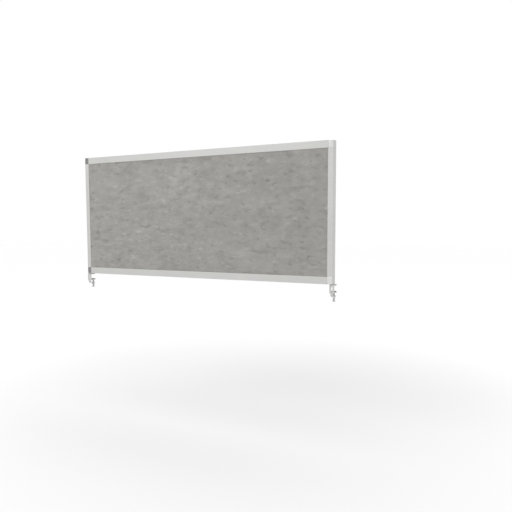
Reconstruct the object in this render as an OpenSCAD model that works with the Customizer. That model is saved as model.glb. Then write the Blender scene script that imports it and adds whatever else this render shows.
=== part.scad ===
// Acoustic divider screen: a felt panel in an aluminium frame on two clamps that grip a board.
// X runs along the board's edge, Y goes back over the board, and Z is up.
// The origin is at mid width, level with the board's upper face, at the board's edge.

/* [Screen] */
// Width over the frame
screen_w = 1400; // [800:50:2000]
// Height over the frame
screen_h = 610; // [350:10:900]
// Depth of the frame, front to back
frame_t = 34; // [30:1:45]

/* [Frame profiles] */
// Face height of the top and bottom rails
rail_face = 32; // [28:1:45]
// Face width of the two stiles
stile_face = 24; // [22:1:32]
// Wall of the extruded profiles
wall_t = 2; // [1.5:0.25:3]
// Depth of the channel that the panel's edge stands in
channel_d = 10; // [7:1:12]
// Rounding of the profiles' long edges
edge_r = 1; // [0.5:0.1:1.4]

/* [Corner connectors] */
// Length of the spigots that go into the profiles
spigot_l = 45; // [30:5:70]
// Wall of the hollow spigots
spigot_wall = 2.5; // [1.5:0.5:3.5]
// Clearance all round a spigot
spigot_gap = 0.2; // [0.1:0.05:0.4]
// Width of the press ribs that take up that clearance
rib_w = 3; // [1.5:0.5:5]
// Rounding of the connector's outer edges
corner_r = 1.5; // [0.5:0.25:3]

/* [Panel] */
// Thickness of each felt sheet
felt_t = 5; // [3:0.5:8]
// Clearance between the panel and its channel
panel_gap = 0.3; // [0.2:0.05:0.5]

/* [Clamp setting] */
// Thickness of the board that the clamps are set to
board_t = 25; // [18:1:34]
// Distance from the frame's end to the middle of its clamp
clamp_inset = 4; // [2:1:8]
// Distance from the frame's front to the clamp's front
clamp_setback = 5; // [1:1:8]

/* [Clamp bracket] */
// Width of the bracket's strip
strip_w = 22; // [20:1:30]
// Thickness of the bracket's strip
strip_t = 4; // [3:0.5:6]
// Reach of the upper jaw over the board
jaw_reach = 30; // [26:1:45]
// Height from the board's upper face down to the lower arm
throat_h = 44; // [41:1:60]
// Inner radius of the upper bend
top_bend_r = 2; // [1:0.5:2.5]
// Inner radius of the lower bend
low_bend_r = 6; // [3:1:10]
// Width of the lower arm
arm_w = 12; // [10:1:18]
// Diameter of the arm's round end
arm_end_d = 18; // [16:1:26]
// Width of the slot in the front
slot_w = 6; // [4.5:0.5:8]
// Length of the slot in the front
slot_l = 25; // [15:1:28]
// Distance from the board's upper face down to the slot
slot_drop = 5; // [3:1:8]

/* [Bracket screws] */
// Thread diameter of the two screws that hold a bracket
fixing_d = 5; // [4:0.5:5]
// Diameter of their countersunk heads
fixing_head_d = 9.2; // [8:0.2:9.6]
// Length of these screws
fixing_l = 14; // [10:1:20]
// Distance between the two screws
fixing_pitch = 12; // [10.5:0.5:13]
// Distance from the frame's end to these screws
fixing_inset = 8; // [6:1:9]
// Distance from the middle of the frame's depth back to the middle of the pair
fixing_back = 5; // [4:0.5:7]

/* [Jaw pad] */
// Thickness of the rubber pad under the upper jaw
jaw_pad_t = 2.5; // [1.5:0.5:4]
// Margin of bare jaw round the pad
jaw_pad_margin = 1; // [0.5:0.25:2]
// Corner radius of the pad
jaw_pad_r = 3; // [1:0.5:5]

/* [Clamp screw] */
// Thread diameter of the clamp screw
spindle_d = 8; // [6.5:0.5:10]
// Distance from the board's edge back to the clamp screw
spindle_back = 24; // [18:1:32]
// Length of the clamp screw below the pressure plate
spindle_l = 37; // [35:1:50]
// Diameter of its fluted head
head_d = 13; // [12:1:18]
// Height of its fluted head
head_h = 8; // [7:1:9]
// Diameter of the flutes round the head
flute_d = 1.2; // [0.8:0.1:1.4]
// Number of flutes round the head
flute_count = 18; // [8:2:20]
// Width across flats of the hexagon socket in the head
socket_af = 6; // [4:0.5:7]
// Depth of that socket
socket_depth = 5; // [3:1:6]
// Chamfer at the ends of the head
head_chamfer = 0.8; // [0.4:0.1:1.2]
// Width across flats of the nut under the arm
nut_af = 13; // [12:0.5:17]
// Height of that nut
nut_h = 6.5; // [5:0.5:8]
// Radial clearance of the thread in its nut
thread_fit = 0.05; // [0.03:0.01:0.1]
// Radial clearance of the thread in the arm
arm_hole_gap = 0.5; // [0.3:0.1:0.8]

/* [Pressure plate] */
// Diameter of the plate that presses on the board's underside
plate_d = 24; // [20:1:32]
// Thickness of that plate
plate_t = 4; // [3.5:0.25:5]
// Diameter of the neck below the plate
neck_d = 14; // [11:1:18]
// Height of the neck
neck_h = 3; // [2:0.5:5]
// Thickness of the rubber facing on the plate
facing_t = 2; // [1:0.5:3]
// Margin of bare plate round the facing
facing_margin = 1; // [0.5:0.25:2]
// Diameter of the clamp screw's journal in the plate
journal_d = 6; // [5:0.25:6.4]
// Radial clearance of the journal in the plate
journal_fit = 0.05; // [0.03:0.01:0.1]
// Diameter of the well in the plate's top
well_d = 12; // [11:0.5:15]
// Depth of that well
well_depth = 3; // [2.5:0.1:3.4]
// Diameter of the retaining ring in the well
ring_d = 10; // [8:0.5:10.5]
// Thickness of the retaining ring
ring_t = 0.9; // [0.6:0.1:1.2]
// Depth of the ring's groove in the journal
ring_groove = 0.5; // [0.3:0.1:0.8]
// Clearance of the ring and of the screw's shoulder along the axis
axial_play = 0.1; // [0.05:0.01:0.2]

/* [Hidden] */
$fn = 64;

// Overrun of every cut past the face that it opens
over = 1;
// Angle of a full turn and of a quarter turn
turn = 360;
quarter = 90;

// The frame stands on the brackets' upper jaws
frame_z = jaw_pad_t + strip_t;
frame_top = frame_z + screen_h;
frame_y = -strip_t - clamp_setback;
frame_mid_y = frame_y + frame_t / 2;
rail_l = screen_w - 2 * stile_face;
stile_l = screen_h - 2 * rail_face;

// The panel fills the frame's opening and stands in the channel on all four sides
channel_w = frame_t - 2 * wall_t;
panel_y = frame_y + wall_t + panel_gap;
panel_t = channel_w - 2 * panel_gap;
core_t = panel_t - 2 * felt_t;
panel_tongue = channel_d - panel_gap;

// The clamps, each at its distance from the frame's end
clamp_x = screen_w / 2 - clamp_inset;
fixing_x = screen_w / 2 - fixing_inset;
fixing_y = frame_mid_y + fixing_back;
arm_z = -throat_h - strip_t;
slot_low_z = -slot_drop - slot_l + slot_w / 2;

// The pressure plate touches the board's underside, and the clamp screw hangs from the plate
facing_z = -board_t - facing_t;
plate_z = facing_z - plate_t;
neck_z = plate_z - neck_h;
well_z = facing_z - well_depth;
shoulder_z = neck_z - axial_play;
spindle_z = shoulder_z - spindle_l;
ring_z = well_z + axial_play;
journal_top = ring_z + 2 * ring_t;

// A rectangle with rounded corners, from the origin into the first quadrant
module rounded_rect(w, h, r) {
    translate([r, 0])
        square([w - 2 * r, h]);
    translate([0, r])
        square([w, h - 2 * r]);
    for (x = [r, w - r], y = [r, h - r])
        translate([x, y])
            circle(r);
}

// Section of a frame profile: depth along X, and the face from its outer side up to the panel
module profile(face) {
    difference() {
        rounded_rect(frame_t, face, edge_r);
        translate([wall_t, face - channel_d])
            square([channel_w, channel_d + over]);
        translate([wall_t, wall_t])
            square([channel_w, chamber_h(face)]);
    }
}

// Height of the closed chamber behind the channel
function chamber_h(face) = face - channel_d - 2 * wall_t;

// Turns a section to run along X, with its depth along Y and its face along Z
module along_x(l) {
    rotate([quarter, 0, quarter])
        linear_extrude(l)
            children();
}

// A hollow spigot with a press rib on each side, standing up from the origin's plane
module spigot(face) {
    outer_w = channel_w - 2 * spigot_gap;
    outer_h = chamber_h(face) - 2 * spigot_gap;
    linear_extrude(spigot_l)
        difference() {
            union() {
                translate([wall_t + spigot_gap, wall_t + spigot_gap])
                    square([outer_w, outer_h]);
                translate([wall_t, wall_t + (chamber_h(face) - rib_w) / 2])
                    square([channel_w, rib_w]);
                translate([(frame_t - rib_w) / 2, wall_t])
                    square([rib_w, chamber_h(face)]);
            }
            translate([wall_t + spigot_gap + spigot_wall, wall_t + spigot_gap + spigot_wall])
                square([outer_w - 2 * spigot_wall, outer_h - 2 * spigot_wall]);
        }
}

// The connector's block fills the corner, as deep as the frame and rounded on its edges
module corner_block() {
    intersection() {
        rotate([quarter, 0, 0])
            translate([-stile_face, 0, -frame_t])
                linear_extrude(frame_t)
                    rounded_rect(stile_face, rail_face, corner_r);
        translate([-stile_face, 0, 0])
            along_x(stile_face)
                rounded_rect(frame_t, rail_face, edge_r);
        translate([-stile_face, 0, 0])
            linear_extrude(rail_face)
                rounded_rect(stile_face, frame_t, edge_r);
    }
}

// A corner connector, from the corner's outer bottom edge at the front
module corner() {
    color("gainsboro") {
        corner_block();
        translate([-stile_face, 0, 0])
            mirror([1, 0, 0])
                rotate([quarter, 0, quarter])
                    spigot(rail_face);
        translate([0, 0, rail_face])
            rotate([0, 0, quarter])
                spigot(stile_face);
    }
}

// Holes for the bracket's screws, cut in the block of a bottom corner
module fixing_holes() {
    for (side = [-1, 1])
        translate([fixing_x, fixing_y + side * fixing_pitch / 2, frame_z - over])
            cylinder(d = fixing_d + 2 * thread_fit, h = fixing_l - strip_t + 2 * over);
}

module top_right_corner() {
    translate([screen_w / 2, frame_y, frame_top])
        mirror([0, 0, 1])
            corner();
}

module bottom_right_corner() {
    difference() {
        translate([screen_w / 2, frame_y, frame_z])
            corner();
        fixing_holes();
    }
}

module top_left_corner() {
    mirror([1, 0, 0])
        top_right_corner();
}

module bottom_left_corner() {
    mirror([1, 0, 0])
        bottom_right_corner();
}

module bottom_rail() {
    color("silver")
        translate([-rail_l / 2, frame_y, frame_z])
            along_x(rail_l)
                profile(rail_face);
}

module top_rail() {
    color("silver")
        translate([-rail_l / 2, frame_y, frame_top])
            mirror([0, 0, 1])
                along_x(rail_l)
                    profile(rail_face);
}

module right_stile() {
    color("silver")
        translate([screen_w / 2, frame_y, frame_z + rail_face])
            rotate([0, 0, quarter])
                linear_extrude(stile_l)
                    profile(stile_face);
}

module left_stile() {
    mirror([1, 0, 0])
        right_stile();
}

// One layer of the panel, with its corners notched to clear the connectors
module panel_layer(y, t) {
    translate([0, y, 0]) {
        translate([-rail_l / 2 + panel_gap, 0, frame_z + rail_face - panel_tongue])
            cube([rail_l - 2 * panel_gap, t, stile_l + 2 * panel_tongue]);
        translate([-rail_l / 2 - panel_tongue, 0, frame_z + rail_face + panel_gap])
            cube([rail_l + 2 * panel_tongue, t, stile_l - 2 * panel_gap]);
    }
}

module front_felt() {
    color("darkgray")
        panel_layer(panel_y, felt_t);
}

module absorber_core() {
    color("beige")
        panel_layer(panel_y + felt_t, core_t);
}

module rear_felt() {
    color("darkgray")
        panel_layer(panel_y + felt_t + core_t, felt_t);
}

// A quarter of a ring, for a bend whose strip starts along +Y and ends along +X
module bend(inner_r) {
    intersection() {
        difference() {
            circle(inner_r + strip_t);
            circle(inner_r);
        }
        translate([-inner_r - strip_t, 0])
            square(inner_r + strip_t);
    }
}

// Side view of the bent strip: depth along X and height along Y
module strip_side() {
    upright_top = jaw_pad_t - top_bend_r;
    upright_low = low_bend_r - throat_h;
    translate([top_bend_r, jaw_pad_t])
        square([jaw_reach - top_bend_r, strip_t]);
    translate([top_bend_r, upright_top])
        bend(top_bend_r);
    translate([-strip_t, upright_low])
        square([strip_t, upright_top - upright_low]);
    translate([low_bend_r, upright_low])
        mirror([0, 1])
            bend(low_bend_r);
}

// Front view of the strip, full width above and narrowed to the arm below the slot
module strip_front() {
    translate([-strip_w / 2, slot_low_z])
        square([strip_w, frame_z - slot_low_z]);
    translate([0, slot_low_z])
        circle(d = strip_w);
    translate([-arm_w / 2, arm_z])
        square([arm_w, -arm_z]);
}

// Obround slot, long along Y
module slot() {
    for (y = [-slot_drop - slot_w / 2, slot_low_z])
        translate([0, y])
            circle(d = slot_w);
    translate([-slot_w / 2, slot_low_z])
        square([slot_w, slot_l - slot_w]);
}

// Lower arm in plan, from the end of the bend to its round end at the clamp screw
module arm_plan() {
    difference() {
        union() {
            translate([-arm_w / 2, low_bend_r])
                square([arm_w, spindle_back - low_bend_r]);
            translate([0, spindle_back])
                circle(d = arm_end_d);
        }
        translate([0, spindle_back])
            circle(d = spindle_d + 2 * arm_hole_gap);
    }
}

// A countersunk screw, or the hole for one when it is given more room
module countersunk(l, room) {
    sink_h = (fixing_head_d - fixing_d) / 2;
    cylinder(d = fixing_d + 2 * room, h = l);
    cylinder(d1 = fixing_head_d, d2 = fixing_d, h = sink_h);
}

// Places its children at both bracket screws, on the underside of the upper jaw
module at_fixings() {
    for (side = [-1, 1])
        translate([fixing_x, fixing_y + side * fixing_pitch / 2, jaw_pad_t])
            children();
}

module right_clamp_bracket() {
    color("lightgray")
        difference() {
            translate([clamp_x, 0, 0]) {
                intersection() {
                    translate([-strip_w / 2, 0, 0])
                        along_x(strip_w)
                            strip_side();
                    translate([0, jaw_reach, 0])
                        rotate([quarter, 0, 0])
                            linear_extrude(jaw_reach + strip_t)
                                difference() {
                                    strip_front();
                                    slot();
                                }
                }
                translate([0, 0, arm_z])
                    linear_extrude(strip_t)
                        arm_plan();
            }
            at_fixings()
                countersunk(strip_t + over, arm_hole_gap / 2);
        }
}

module right_bracket_screws() {
    color("gray")
        at_fixings()
            difference() {
                countersunk(fixing_l, 0);
                translate([0, 0, -over])
                    cylinder(d = fixing_d / 2, h = fixing_d / 2 + over, $fn = 6);
            }
}

module right_jaw_pad() {
    color("dimgray")
        translate([clamp_x - strip_w / 2 + jaw_pad_margin, top_bend_r, 0])
            linear_extrude(jaw_pad_t)
                rounded_rect(strip_w - 2 * jaw_pad_margin,
                             jaw_reach - top_bend_r - jaw_pad_margin, jaw_pad_r);
}

// Places its children on the clamp screw's axis
module on_screw_axis(z) {
    translate([clamp_x, spindle_back, z])
        children();
}

// A prism with six flats, as wide across them as af
module hexagon(af, h) {
    cylinder(d = af / cos(turn / 12), h = h, $fn = 6);
}

module right_clamp_nut() {
    color("silver")
        on_screw_axis(arm_z - nut_h)
            difference() {
                hexagon(nut_af, nut_h);
                translate([0, 0, -over])
                    cylinder(d = spindle_d + 2 * thread_fit, h = nut_h + 2 * over);
            }
}

// Outline of the clamp screw's head, from its axis outwards
module head_outline() {
    polygon([
        [0, 0],
        [head_d / 2 - head_chamfer, 0],
        [head_d / 2, head_chamfer],
        [head_d / 2, head_h - head_chamfer],
        [head_d / 2 - head_chamfer, head_h],
        [0, head_h]
    ]);
}

module right_clamp_screw() {
    journal_h = journal_top - shoulder_z;
    color("silver")
        on_screw_axis(spindle_z)
            difference() {
                union() {
                    rotate_extrude()
                        head_outline();
                    cylinder(d = spindle_d, h = spindle_l);
                    translate([0, 0, spindle_l])
                        cylinder(d = journal_d, h = journal_h);
                }
                for (i = [0 : flute_count - 1])
                    rotate(i * turn / flute_count)
                        translate([head_d / 2, 0, -over])
                            cylinder(d = flute_d, h = head_h + 2 * over);
                translate([0, 0, -over])
                    hexagon(socket_af, socket_depth + over);
                translate([0, 0, ring_z - spindle_z - axial_play / 2])
                    difference() {
                        cylinder(d = journal_d + over, h = ring_t + axial_play);
                        cylinder(d = journal_d - 2 * ring_groove, h = ring_t + axial_play);
                    }
            }
}

module right_retaining_ring() {
    color("dimgray")
        on_screw_axis(ring_z)
            difference() {
                cylinder(d = ring_d, h = ring_t);
                translate([0, 0, -over])
                    cylinder(d = journal_d - 2 * ring_groove + 2 * journal_fit, h = ring_t + 2 * over);
            }
}

module right_pressure_plate() {
    color("silver")
        on_screw_axis(neck_z)
            difference() {
                union() {
                    cylinder(d = neck_d, h = neck_h);
                    translate([0, 0, neck_h])
                        cylinder(d = plate_d, h = plate_t);
                }
                translate([0, 0, -over])
                    cylinder(d = journal_d + 2 * journal_fit, h = neck_h + plate_t + 2 * over);
                translate([0, 0, well_z - neck_z])
                    cylinder(d = well_d, h = well_depth + over);
            }
}

module right_plate_facing() {
    color("dimgray")
        on_screw_axis(facing_z)
            cylinder(d = plate_d - 2 * facing_margin, h = facing_t);
}

module left_clamp_bracket() {
    mirror([1, 0, 0])
        right_clamp_bracket();
}

module left_bracket_screws() {
    mirror([1, 0, 0])
        right_bracket_screws();
}

module left_jaw_pad() {
    mirror([1, 0, 0])
        right_jaw_pad();
}

module left_clamp_nut() {
    mirror([1, 0, 0])
        right_clamp_nut();
}

module left_clamp_screw() {
    mirror([1, 0, 0])
        right_clamp_screw();
}

module left_retaining_ring() {
    mirror([1, 0, 0])
        right_retaining_ring();
}

module left_pressure_plate() {
    mirror([1, 0, 0])
        right_pressure_plate();
}

module left_plate_facing() {
    mirror([1, 0, 0])
        right_plate_facing();
}

top_rail();
bottom_rail();
left_stile();
right_stile();
top_left_corner();
top_right_corner();
bottom_left_corner();
bottom_right_corner();
front_felt();
rear_felt();
absorber_core();
left_clamp_bracket();
left_bracket_screws();
left_jaw_pad();
left_clamp_nut();
left_clamp_screw();
left_retaining_ring();
left_pressure_plate();
left_plate_facing();
right_clamp_bracket();
right_bracket_screws();
right_jaw_pad();
right_clamp_nut();
right_clamp_screw();
right_retaining_ring();
right_pressure_plate();
right_plate_facing();
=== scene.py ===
"""Looks of an acoustic divider screen: a felt panel in an aluminium frame on two edge clamps.

Metres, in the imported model's own frame: X along the edge of the board that the clamps grip,
Y back over that board, Z up, with the origin on its upper face, at its edge and at mid width.
"""

import logging
import math
from collections.abc import Callable, Mapping, Sequence
from dataclasses import dataclass
from enum import Enum
from functools import cache

import bmesh
import bpy
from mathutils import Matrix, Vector


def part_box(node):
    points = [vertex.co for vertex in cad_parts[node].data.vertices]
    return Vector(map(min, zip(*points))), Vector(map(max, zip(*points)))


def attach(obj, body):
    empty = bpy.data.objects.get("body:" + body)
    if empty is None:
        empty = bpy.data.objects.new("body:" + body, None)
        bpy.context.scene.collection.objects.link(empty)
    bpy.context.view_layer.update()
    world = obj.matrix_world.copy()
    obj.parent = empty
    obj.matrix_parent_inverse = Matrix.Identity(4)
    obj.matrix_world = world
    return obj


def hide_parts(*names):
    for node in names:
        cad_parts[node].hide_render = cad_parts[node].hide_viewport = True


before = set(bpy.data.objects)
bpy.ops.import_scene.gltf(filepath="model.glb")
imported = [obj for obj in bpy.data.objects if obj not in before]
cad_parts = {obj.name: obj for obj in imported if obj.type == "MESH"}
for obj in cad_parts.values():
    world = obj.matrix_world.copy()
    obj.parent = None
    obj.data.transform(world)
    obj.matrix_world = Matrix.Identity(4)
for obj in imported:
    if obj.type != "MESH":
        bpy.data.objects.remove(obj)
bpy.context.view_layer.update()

LOG = logging.getLogger("screen")
MM = 0.001
TURN = 2 * math.pi
QUARTER = math.pi / 2

Point = tuple[float, float]
Triple = tuple[float, float, float]
Place = Callable[[float, float, float], Triple]


class Side(Enum):
    """The two ends of the screen, seen from the front."""

    LEFT = -1
    RIGHT = 1

    @property
    def word(self) -> str:
        """The side's name as the nodes use it."""
        return self.name.lower()


class Axis(Enum):
    """The object's own axes."""

    X = 0
    Y = 1
    Z = 2


class Form(Enum):
    """Outline of a turned piece at one height."""

    ROUND = "round"
    HEXAGON = "hexagon"


# Shader and geometry node building


class Wire:
    """A node's output that takes part in sums, each operator adding its Math node."""

    def __init__(self, bench: "Bench", socket: bpy.types.NodeSocket | None) -> None:
        """Keeps the bench that the socket's node stands on."""
        self.bench = bench
        self.socket = socket

    def maths(self, operation: str, *terms: "Wire | float") -> "Wire":
        """Adds one Math node.

        Args:
            operation: The node's operation.
            terms: What feeds its sockets, in order.

        Returns:
            The result.
        """
        return self.bench.node("ShaderNodeMath", dict(enumerate(terms)), {"operation": operation})

    def __add__(self, other: "Wire | float") -> "Wire":
        """This plus other."""
        return self.maths("ADD", self, other)

    def __radd__(self, other: float) -> "Wire":
        """Other plus this."""
        return self.maths("ADD", other, self)

    def __sub__(self, other: "Wire | float") -> "Wire":
        """This minus other."""
        return self.maths("SUBTRACT", self, other)

    def __rsub__(self, other: float) -> "Wire":
        """Other minus this."""
        return self.maths("SUBTRACT", other, self)

    def __mul__(self, other: "Wire | float") -> "Wire":
        """This times other."""
        return self.maths("MULTIPLY", self, other)

    def __rmul__(self, other: float) -> "Wire":
        """Other times this."""
        return self.maths("MULTIPLY", other, self)

    def __truediv__(self, other: "Wire | float") -> "Wire":
        """This divided by other."""
        return self.maths("DIVIDE", self, other)

    def __abs__(self) -> "Wire":
        """This without its sign."""
        return self.maths("ABSOLUTE", self)

    def at_least(self, low: "Wire | float") -> "Wire":
        """This, or low where that is more."""
        return self.maths("MAXIMUM", self, low)

    def at_most(self, high: "Wire | float") -> "Wire":
        """This, or high where that is less."""
        return self.maths("MINIMUM", self, high)

    def within_one(self) -> "Wire":
        """This, held between 0 and 1."""
        return self.at_least(0.0).at_most(1.0)

    def fraction(self) -> "Wire":
        """What is left of this over a whole number."""
        return self.maths("FRACT", self)

    def root(self) -> "Wire":
        """The square root of this."""
        return self.maths("SQRT", self)

    def above(self, start: float, end: float) -> "Wire":
        """Smoothly 0 below start and 1 above end."""
        sockets = {"Value": self, "From Min": start, "From Max": end}
        return self.bench.node("ShaderNodeMapRange", sockets, {"interpolation_type": "SMOOTHSTEP"})


class Bench:
    """A node tree under construction."""

    def __init__(self, tree: bpy.types.NodeTree) -> None:
        """Keeps the tree."""
        self.tree = tree

    def node(
        self,
        kind: str,
        sockets: Mapping[str | int, object] | None = None,
        settings: Mapping[str, object] | None = None,
        output: str | int = 0,
    ) -> Wire:
        """Adds a node.

        Args:
            kind: The node's type.
            sockets: A value or a wire for each named or numbered input.
            settings: The node's own settings, set before its inputs.
            output: Which output to return.

        Returns:
            That output, or an empty wire from a node that ends the tree.
        """
        node = self.tree.nodes.new(kind)
        for name, value in (settings or {}).items():
            setattr(node, name, value)
        for name, value in (sockets or {}).items():
            if isinstance(value, Wire):
                self.tree.links.new(value.socket, node.inputs[name])
            else:
                node.inputs[name].default_value = value
        return Wire(self, node.outputs[output] if node.outputs else None)

    def other(self, wire: Wire, output: str | int) -> Wire:
        """Another output of the node that a wire comes from."""
        return Wire(self, wire.socket.node.outputs[output])

    def clear(self) -> None:
        """Takes every node off the bench."""
        self.tree.nodes.clear()


@dataclass(frozen=True)
class Grain:
    """Soft noise in a finish.

    Attributes:
        size: Length of a grain along X, Y and Z.
        detail: Octaves of finer noise on it.
        seed: A number of its own for each pattern.
    """

    size: Triple
    detail: float
    seed: float


@dataclass(frozen=True)
class Eddies:
    """Slow stirring that bends straight grain.

    Attributes:
        size: Size of the eddies.
        reach: How far they push.
        seed: A number of its own for each pattern.
    """

    size: float
    reach: float
    seed: float


def even(value: float) -> Triple:
    """The same value three times, for a size along all axes or for a grey."""
    return value, value, value


class Paint(Bench):
    """A material under construction, with patterns that lie in the object's own coordinates."""

    def __init__(self, name: str) -> None:
        """Starts an empty material.

        Args:
            name: The material's name.
        """
        self.material = bpy.data.materials.new(name)
        self.material.use_nodes = True
        super().__init__(self.material.node_tree)
        self.clear()
        self.here = self.node("ShaderNodeTexCoord", output="Object")

    def grain(
        self,
        grain: Grain,
        shift: float = 0.0,
        where: Wire | None = None,
        output: str | int = 0,
    ) -> Wire:
        """Soft noise from about 0 to 1, with a mean of a half.

        Args:
            grain: Its sizes and its seed.
            shift: What is added to its seed.
            where: The coordinates that it follows, the object's own if none are given.
            output: The noise's value, or its colour for noise along all three axes.

        Returns:
            The noise.
        """
        sockets = {"Vector": where or self.here, "Scale": tuple(1 / s for s in grain.size)}
        spread = self.node("ShaderNodeMapping", sockets)
        sockets = {"Vector": spread, "W": grain.seed + shift, "Scale": 1.0, "Detail": grain.detail}
        return self.node("ShaderNodeTexNoise", sockets, {"noise_dimensions": "4D"}, output)

    def stirred(self, eddies: Eddies, shift: float) -> Wire:
        """The object's coordinates, pushed about by eddies.

        Args:
            eddies: Their size and reach.
            shift: What is added to their seed.

        Returns:
            The coordinates.
        """
        push = self.grain(Grain(even(eddies.size), 1.0, eddies.seed), shift, output="Color")
        middle = self.node("ShaderNodeVectorMath", {0: push, 1: even(0.5)}, {"operation": "SUBTRACT"})
        sockets = {0: middle, 1: even(eddies.reach), 2: self.here}
        return self.node("ShaderNodeVectorMath", sockets, {"operation": "MULTIPLY_ADD"})

    def mixed(self, share: Wire, start: Wire | Triple, end: Triple) -> Wire:
        """A colour from start, where share is 0, to end, where it is 1."""
        sockets = {0: share, 6: start if isinstance(start, Wire) else (*start, 1.0), 7: (*end, 1.0)}
        return self.node("ShaderNodeMix", sockets, {"data_type": "RGBA"}, output=2)

    def shaded(self, colour: Wire, share: Wire) -> Wire:
        """A colour, made lighter or darker by a share that is 1 where it stays."""
        grey = self.node("ShaderNodeCombineXYZ", {0: share, 1: share, 2: share})
        return self.node("ShaderNodeVectorMath", {0: colour, 1: grey}, {"operation": "MULTIPLY"})

    def bump(self, height: Wire, depth: float, under: Wire | None = None) -> Wire:
        """Relief too fine for the mesh.

        Args:
            height: The relief, from 0 to 1.
            depth: How deep a full step of it is.
            under: The relief that this one lies on.

        Returns:
            The surface's normal.
        """
        sockets: dict[str | int, object] = {"Height": height, "Distance": depth, "Strength": 1.0}
        if under is not None:
            sockets["Normal"] = under
        return self.node("ShaderNodeBump", sockets)

    def finish(self, sockets: Mapping[str | int, object]) -> bpy.types.Material:
        """Ends the material with its shader.

        Args:
            sockets: What goes into the surface shader.

        Returns:
            The material.
        """
        surface = self.node("ShaderNodeBsdfPrincipled", sockets)
        self.node("ShaderNodeOutputMaterial", {"Surface": surface})
        return self.material


# Finishes


@dataclass(frozen=True)
class SatinAluminium:
    """Drawn aluminium with a pale satin coat, and fine die lines along the profile."""

    along: Axis
    colour: Triple = (0.559, 0.557, 0.542)
    dulled: Triple = (0.459, 0.457, 0.445)
    line_pitch: float = 0.6 * MM
    line_run: float = 220 * MM
    line_depth: float = 0.010 * MM
    line_share: float = 0.4
    cloud: Grain = Grain(even(160 * MM), 2.0, 2.0)
    metallic: float = 0.15
    roughness: float = 0.44
    line_roughness: float = 0.14
    cloud_roughness: float = 0.06

    def make(self) -> bpy.types.Material:
        """Builds the material.

        Returns:
            The material.
        """
        paint = Paint(f"satin_aluminium_{self.along.name.lower()}")
        run = [self.line_pitch] * len(Axis)
        run[self.along.value] = self.line_run
        lines = paint.grain(Grain(tuple(run), 3.0, 1.0))
        cloud = paint.grain(self.cloud)
        share = lines * self.line_share + cloud * (1.0 - self.line_share)
        rough = self.roughness + (lines - 0.5) * self.line_roughness
        return paint.finish({
            "Base Color": paint.mixed(share.within_one(), self.dulled, self.colour),
            "Metallic": self.metallic,
            "Roughness": rough + (cloud - 0.5) * self.cloud_roughness,
            "Normal": paint.bump(lines, self.line_depth),
        })


@dataclass(frozen=True)
class PolishedCasting:
    """Bright polished metal with faint polishing marks and a softer skin in places."""

    colour: Triple = (0.68, 0.68, 0.67)
    worn: Triple = (0.63, 0.63, 0.62)
    marks: Grain = Grain((9 * MM, 0.5 * MM, 0.5 * MM), 3.0, 3.0)
    smear: Grain = Grain(even(14 * MM), 3.0, 4.0)
    smeared: Point = (0.5, 0.8)
    roughness: float = 0.13
    mark_roughness: float = 0.06
    smear_roughness: float = 0.05
    mark_depth: float = 0.002 * MM

    def make(self) -> bpy.types.Material:
        """Builds the material.

        Returns:
            The material.
        """
        paint = Paint("polished_casting")
        marks = paint.grain(self.marks)
        smear = paint.grain(self.smear)
        rough = self.roughness + (marks - 0.5) * self.mark_roughness
        return paint.finish({
            "Base Color": paint.mixed(smear, self.worn, self.colour),
            "Metallic": 1.0,
            "Roughness": rough + smear.above(*self.smeared) * self.smear_roughness,
            "Normal": paint.bump(marks, self.mark_depth),
        })


@dataclass(frozen=True)
class FeltMark:
    """Scattered patches in the felt, whose edges fray into its fibres.

    Attributes:
        grain: Sizes of the noise that they are cut from.
        start: The noise's value at which a patch begins.
        lift: How much lighter a patch is, or darker where it is below 0.
    """

    grain: Grain
    start: float
    lift: float


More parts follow.
